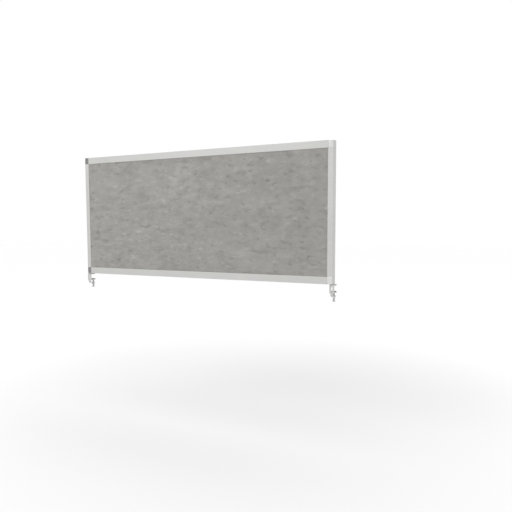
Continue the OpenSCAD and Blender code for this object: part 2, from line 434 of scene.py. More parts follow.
@dataclass(frozen=True)
class PressedFelt:
    """Needled felt of mixed grey fibres: drifting tufts, darker and paler marks, fine fibres."""

    seed: float
    pale: Triple = (0.391, 0.387, 0.364)
    deep: Triple = (0.173, 0.171, 0.159)
    warm: Triple = (0.290, 0.264, 0.256)
    cloud: Grain = Grain((300 * MM, 90 * MM, 170 * MM), 1.0, 0.0)
    tuft: Grain = Grain((105 * MM, 40 * MM, 62 * MM), 2.0, 1.0)
    fleck: Grain = Grain((44 * MM, 14 * MM, 26 * MM), 2.0, 2.0)
    cloud_share: float = 0.34
    tuft_share: float = 0.44
    fleck_share: float = 0.66
    curl: Eddies = Eddies(9 * MM, 5 * MM, 9.0)
    hair: Grain = Grain((7.0 * MM, 0.5 * MM, 0.45 * MM), 2.0, 3.0)
    stray: Grain = Grain((0.55 * MM, 0.5 * MM, 4.5 * MM), 2.0, 4.0)
    hair_share: float = 0.6
    lone: Point = (0.62, 0.72)
    lone_lift: float = 0.1
    fibre_lift: float = 0.85
    drift: Eddies = Eddies(90 * MM, 40 * MM, 6.0)
    fray: float = 0.30
    mark_edge: float = 0.12
    marks: tuple[FeltMark, ...] = (
        FeltMark(Grain((64 * MM, 14 * MM, 19 * MM), 2.0, 7.0), 0.56, 0.10),
        FeltMark(Grain((64 * MM, 14 * MM, 19 * MM), 2.0, 8.0), 0.57, -0.13),
        FeltMark(Grain((34 * MM, 12 * MM, 19 * MM), 1.0, 10.0), 0.60, 0.13),
        FeltMark(Grain((34 * MM, 12 * MM, 19 * MM), 1.0, 12.0), 0.60, -0.19),
    )
    tint: Grain = Grain((90 * MM, 40 * MM, 60 * MM), 2.0, 5.0)
    tinted: Point = (0.38, 0.64)
    tint_share: float = 0.34
    matting_depth: float = 0.5 * MM
    matted_tuft_share: float = 0.7
    fibre_depth: float = 0.22 * MM
    roughness: float = 0.94
    fibre_gloss: float = 0.08
    sheen: float = 0.12
    sheen_roughness: float = 0.6
    specular: float = 0.25

    def make(self) -> bpy.types.Material:
        """Builds the material.

        Returns:
            The material.
        """
        paint = Paint(f"pressed_felt_{self.seed:.0f}")
        cloud = paint.grain(self.cloud, self.seed)
        tuft = paint.grain(self.tuft, self.seed)
        fleck = paint.grain(self.fleck, self.seed)
        curl = paint.stirred(self.curl, self.seed)
        strand = paint.grain(self.hair, self.seed, curl)
        cross = paint.grain(self.stray, self.seed, curl)
        fibre = strand * self.hair_share + cross * (1.0 - self.hair_share)
        drift = paint.stirred(self.drift, self.seed)
        fray = (strand - 0.5) * self.fray
        shade = 1.0 + (fibre - 0.5) * self.fibre_lift
        shade = shade + (strand.above(*self.lone) - cross.above(*self.lone)) * self.lone_lift
        for mark in self.marks:
            patch = paint.grain(mark.grain, self.seed, drift) + fray
            shade = shade + patch.above(mark.start, mark.start + self.mark_edge) * mark.lift
        tone = 0.5 + (cloud - 0.5) * self.cloud_share + (tuft - 0.5) * self.tuft_share
        tone = tone + (fleck - 0.5) * self.fleck_share
        warmth = paint.grain(self.tint, self.seed).above(*self.tinted) * self.tint_share
        colour = paint.mixed(warmth, paint.mixed(tone.within_one(), self.deep, self.pale), self.warm)
        matting = tuft * self.matted_tuft_share + fleck * (1.0 - self.matted_tuft_share)
        matted = paint.bump(matting, self.matting_depth)
        return paint.finish({
            "Base Color": paint.shaded(colour, shade),
            "Roughness": self.roughness - fibre * self.fibre_gloss,
            "Sheen Weight": self.sheen,
            "Sheen Roughness": self.sheen_roughness,
            "Specular IOR Level": self.specular,
            "Normal": paint.bump(fibre, self.fibre_depth, under=matted),
        })


@dataclass(frozen=True)
class FibreFill:
    """Loose cream-coloured fibre of the absorber core."""

    pale: Triple = (0.74, 0.71, 0.64)
    deep: Triple = (0.60, 0.57, 0.50)
    tuft: Grain = Grain((24 * MM, 3 * MM, 14 * MM), 3.0, 31.0)
    strand: Grain = Grain((5 * MM, 0.5 * MM, 0.7 * MM), 2.0, 32.0)
    tuft_share: float = 0.7
    raised_tuft_share: float = 0.5
    depth: float = 0.4 * MM
    roughness: float = 0.95

    def make(self) -> bpy.types.Material:
        """Builds the material.

        Returns:
            The material.
        """
        paint = Paint("fibre_fill")
        tuft = paint.grain(self.tuft)
        strand = paint.grain(self.strand)
        tone = tuft * self.tuft_share + strand * (1.0 - self.tuft_share)
        height = tuft * self.raised_tuft_share + strand * (1.0 - self.raised_tuft_share)
        return paint.finish({
            "Base Color": paint.mixed(tone, self.deep, self.pale),
            "Roughness": self.roughness,
            "Normal": paint.bump(height, self.depth),
        })


@dataclass(frozen=True)
class PowderCoat:
    """Light grey powder coat with a fine orange-peel skin."""

    colour: Triple = (0.53, 0.53, 0.525)
    thin: Triple = (0.49, 0.49, 0.49)
    peel: Grain = Grain(even(0.9 * MM), 1.0, 41.0)
    cloud: Grain = Grain(even(12 * MM), 2.0, 42.0)
    peel_depth: float = 0.02 * MM
    metallic: float = 0.15
    roughness: float = 0.38
    peel_roughness: float = 0.12

    def make(self) -> bpy.types.Material:
        """Builds the material.

        Returns:
            The material.
        """
        paint = Paint("powder_coat")
        peel = paint.grain(self.peel)
        return paint.finish({
            "Base Color": paint.mixed(paint.grain(self.cloud), self.thin, self.colour),
            "Metallic": self.metallic,
            "Roughness": self.roughness + (peel - 0.5) * self.peel_roughness,
            "Normal": paint.bump(peel, self.peel_depth),
        })


@dataclass(frozen=True)
class ZincPlate:
    """Zinc-plated steel with turning marks and a faint uneven passivated tint."""

    pale: Triple = (0.62, 0.63, 0.64)
    tinted: Triple = (0.55, 0.56, 0.545)
    turned: Grain = Grain((6 * MM, 6 * MM, 0.18 * MM), 2.0, 51.0)
    cloud: Grain = Grain(even(5 * MM), 3.0, 52.0)
    turned_depth: float = 0.004 * MM
    roughness: float = 0.28
    turned_roughness: float = 0.12
    cloud_roughness: float = 0.10

    def make(self) -> bpy.types.Material:
        """Builds the material.

        Returns:
            The material.
        """
        paint = Paint("zinc_plate")
        turned = paint.grain(self.turned)
        cloud = paint.grain(self.cloud)
        rough = self.roughness + (turned - 0.5) * self.turned_roughness
        return paint.finish({
            "Base Color": paint.mixed(cloud, self.tinted, self.pale),
            "Metallic": 1.0,
            "Roughness": rough + (cloud - 0.5) * self.cloud_roughness,
            "Normal": paint.bump(turned, self.turned_depth),
        })


@dataclass(frozen=True)
class OiledSteel:
    """Dark oiled spring steel."""

    colour: Triple = (0.16, 0.16, 0.165)
    edge: Triple = (0.24, 0.235, 0.23)
    cloud: Grain = Grain(even(3 * MM), 3.0, 61.0)
    roughness: float = 0.34
    cloud_roughness: float = 0.16

    def make(self) -> bpy.types.Material:
        """Builds the material.

        Returns:
            The material.
        """
        paint = Paint("oiled_steel")
        cloud = paint.grain(self.cloud)
        return paint.finish({
            "Base Color": paint.mixed(cloud, self.colour, self.edge),
            "Metallic": 1.0,
            "Roughness": self.roughness + (cloud - 0.5) * self.cloud_roughness,
        })


@dataclass(frozen=True)
class MouldedRubber:
    """Dark grey rubber with a dusty bloom."""

    colour: Triple = (0.036, 0.036, 0.037)
    bloom: Triple = (0.075, 0.075, 0.074)
    dust: Grain = Grain(even(4 * MM), 4.0, 71.0)
    dusty: Point = (0.4, 0.75)
    skin: Grain = Grain(even(0.35 * MM), 1.0, 72.0)
    skin_depth: float = 0.03 * MM
    roughness: float = 0.72
    dust_roughness: float = 0.2

    def make(self) -> bpy.types.Material:
        """Builds the material.

        Returns:
            The material.
        """
        paint = Paint("moulded_rubber")
        dust = paint.grain(self.dust)
        return paint.finish({
            "Base Color": paint.mixed(dust.above(*self.dusty), self.colour, self.bloom),
            "Roughness": self.roughness + (dust - 0.5) * self.dust_roughness,
            "Normal": paint.bump(paint.grain(self.skin), self.skin_depth),
        })


# Mesh building

# Keeps the point of a sharp corner from moving too far when its outline is inset
LEAST_LEAN = 0.35


@cache
def box_of(node: str) -> tuple[Vector, Vector]:
    """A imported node's lowest and highest corners."""
    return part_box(node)


@dataclass(frozen=True)
class Loop:
    """One closed outline of a plate, counterclockwise, and its way from one face to the other.

    Attributes:
        points: The outline in the plate's own plane.
        steps: How far into the material each step lies, and its height through the plate.
        hole: Whether the material lies outside the outline.
    """

    points: tuple[Point, ...]
    steps: tuple[Point, ...]
    hole: bool = False

    def at(self, inset: float) -> list[Point]:
        """The outline, moved into the material.

        Args:
            inset: How far to move it.

        Returns:
            The moved points.
        """
        moved = []
        reach = -inset if self.hole else inset
        for i, here in enumerate(self.points):
            before = Vector(here) - Vector(self.points[i - 1])
            after = Vector(self.points[(i + 1) % len(self.points)]) - Vector(here)
            before.normalize()
            after.normalize()
            inward = Vector((-before.y - after.y, before.x + after.x))
            inward.normalize()
            lean = max(inward.dot(Vector((-before.y, before.x))), LEAST_LEAN)
            moved.append(tuple(Vector(here) + inward * (reach / lean)))
        return moved


def rounded_steps(thick: float, round_r: float, parts: int = 3) -> tuple[Point, ...]:
    """Steps through a plate whose rim is rounded on both faces.

    Args:
        thick: Thickness of the plate.
        round_r: Radius of the rounding.
        parts: Facets in each quarter round.

    Returns:
        Inset and height of each step.
    """
    turns = [QUARTER * i / parts for i in range(parts + 1)]
    low = [(round_r * (1 - math.sin(a)), round_r * (1 - math.cos(a))) for a in turns]
    return tuple(low + [(inset, thick - height) for inset, height in reversed(low)])


def arc(centre: Point, r: float, start: float, end: float, parts: int) -> list[Point]:
    """Points along an arc.

    Args:
        centre: The arc's centre.
        r: Its radius.
        start: Angle of its first point.
        end: Angle of its last point.
        parts: Number of chords.

    Returns:
        The points, both ends included.
    """
    angles = (start + (end - start) * i / parts for i in range(parts + 1))
    return [(centre[0] + r * math.cos(a), centre[1] + r * math.sin(a)) for a in angles]


def circle(centre: Point, r: float, parts: int = 48) -> tuple[Point, ...]:
    """A full circle, its first point not repeated."""
    return tuple(arc(centre, r, 0.0, TURN, parts)[:-1])


def rounded_box(low: Point, high: Point, r: float, parts: int = 4) -> tuple[Point, ...]:
    """A rectangle with rounded corners.

    Args:
        low: Its lower left corner.
        high: Its upper right corner.
        r: Radius of the corners.
        parts: Chords in each corner.

    Returns:
        The outline, counterclockwise.
    """
    centres = [
        (high[0] - r, low[1] + r),
        (high[0] - r, high[1] - r),
        (low[0] + r, high[1] - r),
        (low[0] + r, low[1] + r),
    ]
    out: list[Point] = []
    for i, centre in enumerate(centres):
        out += arc(centre, r, (i - 1) * QUARTER, i * QUARTER, parts)
    return tuple(out)


def plate(bm: bmesh.types.BMesh, loops: Sequence[Loop]) -> None:
    """Adds a closed plate with any holes to a mesh, in its own plane and upwards from it.

    Args:
        bm: The mesh to add to.
        loops: Its outline and its holes.
    """
    rims: tuple[list, list] = ([], [])
    for loop in loops:
        rows = [[bm.verts.new((*p, height)) for p in loop.at(inset)] for inset, height in loop.steps]
        for low, high in zip(rows, rows[1:]):
            for i in range(len(low)):
                bm.faces.new((low[i - 1], low[i], high[i], high[i - 1]))
        for rim, row in zip(rims, (rows[0], rows[-1])):
            rim += [bm.edges.get((row[i - 1], row[i])) for i in range(len(row))]
    for rim in rims:
        bmesh.ops.triangle_fill(bm, edges=rim)


@dataclass(frozen=True)
class Ring:
    """One height of a turned piece.

    Attributes:
        r: Its radius, or half its width across flats.
        z: Its height.
        form: Its outline.
        limit: The largest radius that its corners keep, where they are turned down.
    """

    r: float
    z: float
    form: Form = Form.ROUND
    limit: float = math.inf

    def reach(self, angle: float) -> float:
        """Radius of the outline in one direction.

        Args:
            angle: The direction, measured from the X axis.

        Returns:
            The radius.
        """
        if self.form is Form.ROUND:
            return self.r
        sixth = TURN / 6
        return min(self.r / math.cos(angle % sixth - sixth / 2), self.limit)


def rings_at(*spots: Point) -> list[Ring]:
    """Round rings, each given by its radius and its height."""
    return [Ring(r, z) for r, z in spots]


def rings_up(r: float, low: float, high: float, parts: int) -> list[Ring]:
    """Round rings up a straight wall from low to high, with parts even spaces between them."""
    return [Ring(r, low + (high - low) / parts * i) for i in range(parts + 1)]


def turned(bm: bmesh.types.BMesh, rings: Sequence[Ring], parts: int, closed: bool = False) -> None:
    """Adds a piece turned about the Z axis to a mesh.

    Args:
        bm: The mesh to add to.
        rings: Its outline, going once round the section. A radius of 0 is a point on the axis.
        parts: Facets round it.
        closed: Whether the last ring joins the first, as on a piece with a bore.
    """
    rows = []
    for ring in rings:
        angles = [TURN * i / parts for i in range(parts)] if ring.r > 0 else [0.0]
        rows.append([
            bm.verts.new((ring.reach(a) * math.cos(a), ring.reach(a) * math.sin(a), ring.z))
            for a in angles
        ])
    pairs = list(zip(rows, rows[1:]))
    if closed:
        pairs.append((rows[-1], rows[0]))
    for low, high in pairs:
        for i in range(parts):
            corners = [low[i - 1], low[i]] if len(low) > 1 else [low[0]]
            corners += [high[i], high[i - 1]] if len(high) > 1 else [high[0]]
            bm.faces.new(corners)


def placed(bm: bmesh.types.BMesh, place: Place) -> None:
    """Moves every vertex of a mesh to where place puts it."""
    for vert in bm.verts:
        vert.co = place(*vert.co)


def shifted(bm: bmesh.types.BMesh, x: float = 0.0, y: float = 0.0, z: float = 0.0) -> None:
    """Moves a whole mesh."""
    placed(bm, lambda u, v, w: (u + x, v + y, w + z))


def piece(name: str, bm: bmesh.types.BMesh) -> bpy.types.Object:
    """Turns a mesh into an object.

    Args:
        name: The piece's name.
        bm: Its mesh, which is used up.

    Returns:
        The object, at the origin.
    """
    bmesh.ops.recalc_face_normals(bm, faces=bm.faces)
    mesh = bpy.data.meshes.new(name)
    bm.to_mesh(mesh)
    bm.free()
    made = bpy.data.objects.new(name, mesh)
    bpy.context.scene.collection.objects.link(made)
    return made


def shaded(made: bpy.types.Object, crease: float = 35.0) -> bpy.types.Object:
    """Shades a piece's flats flat and its rounds smooth.

    Args:
        made: The piece, with its final shape.
        crease: Angle in degrees past which an edge stays sharp.

    Returns:
        The piece.
    """
    made.data.shade_smooth()
    made.data.set_sharp_from_angle(angle=math.radians(crease))
    weighted = made.modifiers.new("lead_by_area", "WEIGHTED_NORMAL")
    weighted.keep_sharp = True
    baked(made)
    return made


def baked(made: bpy.types.Object) -> None:
    """Replaces a piece's mesh by what its modifiers make of it, and removes them.

    Args:
        made: The piece.
    """
    graph = bpy.context.evaluated_depsgraph_get()
    mesh = bpy.data.meshes.new_from_object(made.evaluated_get(graph), depsgraph=graph)
    old = made.data
    made.modifiers.clear()
    made.data = mesh
    mesh.name = made.name
    bpy.data.meshes.remove(old)


def dress(
    made: bpy.types.Object,
    body: str,
    slot: str,
    material: bpy.types.Material,
    *nodes: str,
) -> bpy.types.Object:
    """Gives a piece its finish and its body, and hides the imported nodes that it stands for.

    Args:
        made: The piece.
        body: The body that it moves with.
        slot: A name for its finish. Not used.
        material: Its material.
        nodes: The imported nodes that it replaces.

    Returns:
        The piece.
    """
    made.data.materials.clear()
    made.data.materials.append(material)
    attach(made, body)
    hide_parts(*nodes)
    return made


# Geometry node recipes


class Recipe(Bench):
    """A geometry node tree with named inputs, run on a piece and baked into its mesh."""

    def __init__(self, name: str, inputs: Mapping[str, float]) -> None:
        """Starts the tree.

        Args:
            name: The tree's name.
            inputs: Its named sizes, each with the value that it has if none is given.
        """
        super().__init__(bpy.data.node_groups.new(name, "GeometryNodeTree"))
        face = self.tree.interface
        face.new_socket("Geometry", in_out="INPUT", socket_type="NodeSocketGeometry")
        self.keys = {}
        for label, value in inputs.items():
            socket = face.new_socket(label, in_out="INPUT", socket_type="NodeSocketFloat")
            socket.default_value = value
            self.keys[label] = socket.identifier
        finish = face.new_socket("Finish", in_out="INPUT", socket_type="NodeSocketMaterial")
        self.keys["Finish"] = finish.identifier
        face.new_socket("Geometry", in_out="OUTPUT", socket_type="NodeSocketGeometry")
        self.given = self.node("NodeGroupInput")
        self.here = self.node("GeometryNodeInputPosition")

    def size(self, label: str) -> Wire:
        """One of the tree's named inputs."""
        return self.other(self.given, label)

    def parts_of(self, vector: Wire) -> tuple[Wire, Wire, Wire]:
        """The X, Y and Z of a vector."""
        x = self.node("ShaderNodeSeparateXYZ", {0: vector})
        return x, self.other(x, 1), self.other(x, 2)

    def vector(self, x: Wire | float, y: Wire | float, z: Wire | float) -> Wire:
        """A vector of three values."""
        return self.node("ShaderNodeCombineXYZ", {0: x, 1: y, 2: z})

    def moved(self, geometry: Wire, place: Wire) -> Wire:
        """Geometry with its points where place says."""
        return self.node("GeometryNodeSetPosition", {"Geometry": geometry, "Position": place})

    def spread(self, geometry: Wire, points: Wire) -> Wire:
        """A copy of some geometry on each point."""
        return self.node("GeometryNodeInstanceOnPoints", {"Points": points, "Instance": geometry})

    def joined(self, *geometry: Wire) -> Wire:
        """Several geometries in one.

        Args:
            geometry: What is joined.

        Returns:
            The whole.
        """
        join = self.node("GeometryNodeJoinGeometry")
        for one in geometry:
            self.tree.links.new(one.socket, join.socket.node.inputs[0])
        return join

    def serve(self, geometry: Wire) -> None:
        """Ends the tree: instances made real, and the finish set.

        Args:
            geometry: What the tree has made.
        """
        real = self.node("GeometryNodeRealizeInstances", {"Geometry": geometry})
        sockets = {"Geometry": real, "Material": self.size("Finish")}
        self.node("NodeGroupOutput", {0: self.node("GeometryNodeSetMaterial", sockets)})

    def run(
        self, made: bpy.types.Object, finish: bpy.types.Material, sizes: Mapping[str, float],
    ) -> None:
        """Runs the tree on a piece and keeps the result as its mesh.

        Args:
            made: The piece.
            finish: Its material.
            sizes: Values for the named inputs.
        """
        modifier = made.modifiers.new(self.tree.name, "NODES")
        modifier.node_group = self.tree
        modifier[self.keys["Finish"]] = finish
        for label, value in sizes.items():
            modifier[self.keys[label]] = value
        baked(made)


class TurnedCut(Recipe):
    """A recipe that moves the points of a turned piece towards its axis, which stands along Z."""

    least_r: float = 0.01 * MM

    def __init__(self, name: str, inputs: Mapping[str, float]) -> None:
        """Starts the tree and finds each point's place about the axis.

        Args:
            name: The tree's name.
            inputs: Its named sizes besides the axis's own place.
        """
        super().__init__(name, {"Axis X": 0.0, "Axis Y": 0.0, **inputs})
        x, y, self.z = self.parts_of(self.here)
        self.x = x - self.size("Axis X")
        self.y = y - self.size("Axis Y")
        self.r = (self.x * self.x + self.y * self.y).root()
        self.around = self.y.maths("ARCTAN2", self.y, self.x) / TURN

    def serve_at(self, wanted: Wire) -> None:
        """Ends the tree with each point as far from the axis as wanted.

        Args:
            wanted: That distance.
        """
        share = wanted / self.r.at_least(self.least_r)
        x = self.x * share + self.size("Axis X")
        y = self.y * share + self.size("Axis Y")
        self.serve(self.moved(self.given, self.vector(x, y, self.z)))


class ThreadCut(TurnedCut):
    """Cuts a right-hand V thread into a turned shaft, with a flat crest and a flat root."""

    flat_share: float = 0.15
    off_shaft: Point = (0.02 * MM, 0.03 * MM)

    def __init__(self) -> None:
        """Builds the tree."""
        super().__init__("thread_cut", {
            "Start": 0.0, "End": 20 * MM, "Radius": 4 * MM,
            "Pitch": 1.25 * MM, "Depth": 0.7 * MM, "Runout": 1 * MM,
        })
        phase = (self.z / self.size("Pitch") - self.around + 1.0).fraction()
        flank = abs(phase * 2.0 - 1.0) * (1.0 + 2 * self.flat_share)
        groove = (flank - self.flat_share).within_one()
        entry = ((self.z - self.size("Start")) / self.size("Runout")).within_one()
        leave = ((self.size("End") - self.z) / self.size("Runout")).within_one()
        on_shaft = 1.0 - abs(self.r - self.size("Radius")).above(*self.off_shaft)
        self.serve_at(self.r - groove * entry * leave * on_shaft * self.size("Depth"))


class FluteCut(TurnedCut):
    """Cuts round flutes into the rim of a turned head."""

    def __init__(self) -> None:
        """Builds the tree."""
        super().__init__("flute_cut", {
            "Start": 0.0, "End": 8 * MM, "Radius": 6.5 * MM, "Count": 18.0, "Flute": 0.6 * MM,
        })
        turns = (self.around + 1.0) * self.size("Count")
        off = abs((turns + 0.5).fraction() - 0.5)
        span = off * self.size("Radius") * TURN / self.size("Count")
        flute = self.size("Flute")
        deep = (flute * flute - span * span).at_least(0.0).root()
        inside = self.z.maths("GREATER_THAN", self.z, self.size("Start"))
        inside = inside * self.z.maths("LESS_THAN", self.z, self.size("End"))
        wanted = self.r.at_most(self.size("Radius") - deep)
        self.serve_at(self.r + (wanted - self.r) * inside)


class NeedledRelief(Recipe):
    """Lets a felt face swell out between the frame's lips, with a soft uneven surface."""

    off_face: Point = (0.02 * MM, 0.04 * MM)
    long_waves: float = 30.0
    short_waves: float = 95.0
    long_share: float = 0.55
    wave_detail: float = 2.0

    def __init__(self) -> None:
        """Builds the tree."""
        super().__init__("needled_relief", {
            "Face": 0.0, "Out": -1.0, "Half Width": 0.5, "Low": 0.0, "High": 0.5,
            "Fade": 15 * MM, "Swell": 0.5 * MM, "Relief": 0.3 * MM, "Seed": 1.0,
        })
        x, y, z = self.parts_of(self.here)
        side = self.size("Half Width") - abs(x)
        inside = side.at_most(z - self.size("Low")).at_most(self.size("High") - z)
        rise = (inside / self.size("Fade")).above(0.0, 1.0)
        on_face = 1.0 - abs(y - self.size("Face")).above(*self.off_face)
        waves = self.noise(self.long_waves) * self.long_share
        waves = waves + self.noise(self.short_waves) * (1.0 - self.long_share) - 0.5
        lift = rise * on_face * (self.size("Swell") + waves * self.size("Relief"))
        self.serve(self.moved(self.given, self.vector(x, y + lift * self.size("Out"), z)))

    def noise(self, scale: float) -> Wire:
        """Noise over the felt, seeded by the tree's own input.

        Args:
            scale: Waves in a metre.

        Returns:
            The noise.
        """
        sockets = {"Vector": self.here, "W": self.size("Seed"), "Scale": scale}
        sockets["Detail"] = self.wave_detail
        return self.node("ShaderNodeTexNoise", sockets, {"noise_dimensions": "4D"})


class RowOf(Recipe):
    """Repeats a piece in a straight row along Y."""

    def __init__(self) -> None:
        """Builds the tree."""
        super().__init__("row_of", {"Count": 2.0, "Step Y": 0.0})
        step = self.vector(0.0, self.size("Step Y"), 0.0)
        row = self.node("GeometryNodeMeshLine", {"Count": self.size("Count"), "Offset": step})
        self.serve(self.spread(self.given, row))


class TreadRibs(Recipe):
    """Adds a row of trapezoid ribs under a rubber pad."""

    def __init__(self) -> None:
        """Builds the tree."""
        super().__init__("tread_ribs", {
            "Middle X": 0.0, "First Y": 0.0, "Base Z": 0.0, "Height": 1 * MM, "Length": 20 * MM,
            "Foot": 2 * MM, "Crest": 1 * MM, "Pitch": 3 * MM, "Count": 8.0,
        })
        half = self.size("Length") / 2.0
        sockets = {"Start": self.vector(-1.0 * half, 0.0, 0.0), "End": self.vector(half, 0.0, 0.0)}
        bar = self.node("GeometryNodeCurvePrimitiveLine", sockets)
        sockets = {"Bottom Width": self.size("Foot"), "Top Width": self.size("Crest")}
        sockets |= {"Height": self.size("Height"), "Offset": 0.0}
        outline = self.node("GeometryNodeCurvePrimitiveQuadrilateral", sockets, {"mode": "TRAPEZOID"})
        sockets = {"Curve": bar, "Profile Curve": outline, "Fill Caps": True}
        rib = self.node("GeometryNodeCurveToMesh", sockets)
        first = self.vector(self.size("Middle X"), self.size("First Y"), self.size("Base Z"))
        step = self.vector(0.0, self.size("Pitch"), 0.0)
        sockets = {"Count": self.size("Count"), "Start Location": first, "Offset": step}
        row = self.node("GeometryNodeMeshLine", sockets)
        self.serve(self.joined(self.given, self.spread(rib, row)))


@cache
def recipe(kind: type[Recipe]) -> Recipe:
    """The one tree of its kind, built when it is first asked for."""
    return kind()


# The screen's sub-assemblies


@dataclass(frozen=True)
class FrameMembers:
    """The two rails and the two stiles: one drawn profile in two face widths."""

    wall: float = 2 * MM
    panel_gap: float = 0.3 * MM
    edge_r: float = 1 * MM
    lip_r: float = 0.25 * MM
    chamber_r: float = 0.4 * MM
    saw_chamfer: float = 0.25 * MM
    edge_parts: int = 4
    lip_parts: int = 2

    def section(self, depth: float, face: float, channel: float) -> tuple[Point, ...]:
        """Outline of the profile, depth along its first axis, its face up towards the panel.

        Args:
            depth: Depth of the frame.
            face: Width of the profile's face.
            channel: Depth of the channel that the panel stands in.

        Returns:
            The outline, counterclockwise.
        """
        r, lip = self.edge_r, self.lip_r
        near, far, floor = self.wall, depth - self.wall, face - channel
        out = arc((depth - r, r), r, -QUARTER, 0.0, self.edge_parts)
        out += arc((depth - r, face - r), r, 0.0, QUARTER, self.edge_parts)
        out += arc((far + lip, face - lip), lip, QUARTER, 2 * QUARTER, self.lip_parts)
        out += arc((far - lip, floor + lip), lip, 0.0, -QUARTER, self.lip_parts)
        out += arc((near + lip, floor + lip), lip, -QUARTER, -2 * QUARTER, self.lip_parts)
        out += arc((near - lip, face - lip), lip, 0.0, QUARTER, self.lip_parts)
        out += arc((r, face - r), r, QUARTER, 2 * QUARTER, self.edge_parts)
        out += arc((r, r), r, 2 * QUARTER, 3 * QUARTER, self.edge_parts)
        return tuple(out)

    def member(self, node: str, along: Axis, panel_side: int) -> bpy.types.Object:
        """Builds one rail or stile in the place of its node.

        Args:
            node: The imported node.
            along: The axis that it runs along.
            panel_side: 1 where the panel lies on its higher side, or -1.

        Returns:
            The piece.
        """
        low, high = box_of(node)
        across = Axis.Z if along is Axis.X else Axis.X
        face = high[across.value] - low[across.value]
        length = high[along.value] - low[along.value]
        rail_top = box_of("bottom_rail")[1].z
        channel = rail_top - box_of("front_felt")[0].z + self.panel_gap
        chamber_high = (high.y - low.y - self.wall, face - channel - self.wall)
        chamber = rounded_box((self.wall, self.wall), chamber_high, self.chamber_r, self.lip_parts)
        cut = self.saw_chamfer
        steps = ((cut, 0.0), (0.0, cut), (0.0, length - cut), (cut, length))
        bm = bmesh.new()
        plate(bm, [
            Loop(self.section(high.y - low.y, face, channel), steps),
            Loop(chamber, steps, hole=True),
        ])

        def place(u: float, v: float, run: float) -> Triple:
            """Lays the section along the object's axes.

            Args:
                u: Place across the profile's depth.
                v: Place across its face, up towards the panel.
                run: Place along it.

            Returns:
                The point in the object.
            """
            spot = [0.0, low.y + u, 0.0]
            spot[along.value] = low[along.value] + run
            spot[across.value] = (low if panel_side > 0 else high)[across.value] + panel_side * v
            return tuple(spot)

        placed(bm, place)
        return shaded(piece(f"{node}_profile", bm))

    def build(self) -> list[bpy.types.Object]:
        """Builds and dresses all four members.

        Returns:
            The members.
        """
        level = SatinAluminium(Axis.X).make()
        upright = SatinAluminium(Axis.Z).make()
        plan = [
            ("top_rail", Axis.X, -1, level),
            ("bottom_rail", Axis.X, 1, level),
            ("left_stile", Axis.Z, 1, upright),
            ("right_stile", Axis.Z, -1, upright),
        ]
        return [
            dress(self.member(node, along, panel_side), "screen", "frame_aluminium", material, node)
            for node, along, panel_side, material in plan
        ]


@dataclass(frozen=True)
class CornerConnectors:
    """The four cast corners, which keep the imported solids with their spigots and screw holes."""

    nodes: tuple[str, ...] = (
        "top_left_corner", "top_right_corner", "bottom_left_corner", "bottom_right_corner",
    )

    def build(self) -> list[bpy.types.Object]:
        """Dresses the corner nodes.

        Returns:
            The corners.
        """
        material = PolishedCasting().make()
        corners = [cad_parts[name] for name in self.nodes]
        for corner in corners:
            for slot in corner.material_slots:
                slot.material = material
        return corners


@dataclass(frozen=True)
class Felt:
    """One of the panel's two felt sheets.

    Attributes:
        node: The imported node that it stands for.
        out: -1 where it faces the front, and 1 where it faces the rear.
        relief_seed: Seed of its relief.
        fibre_seed: Seed of its colours and fibres.
    """

    node: str
    out: int
    relief_seed: float
    fibre_seed: float


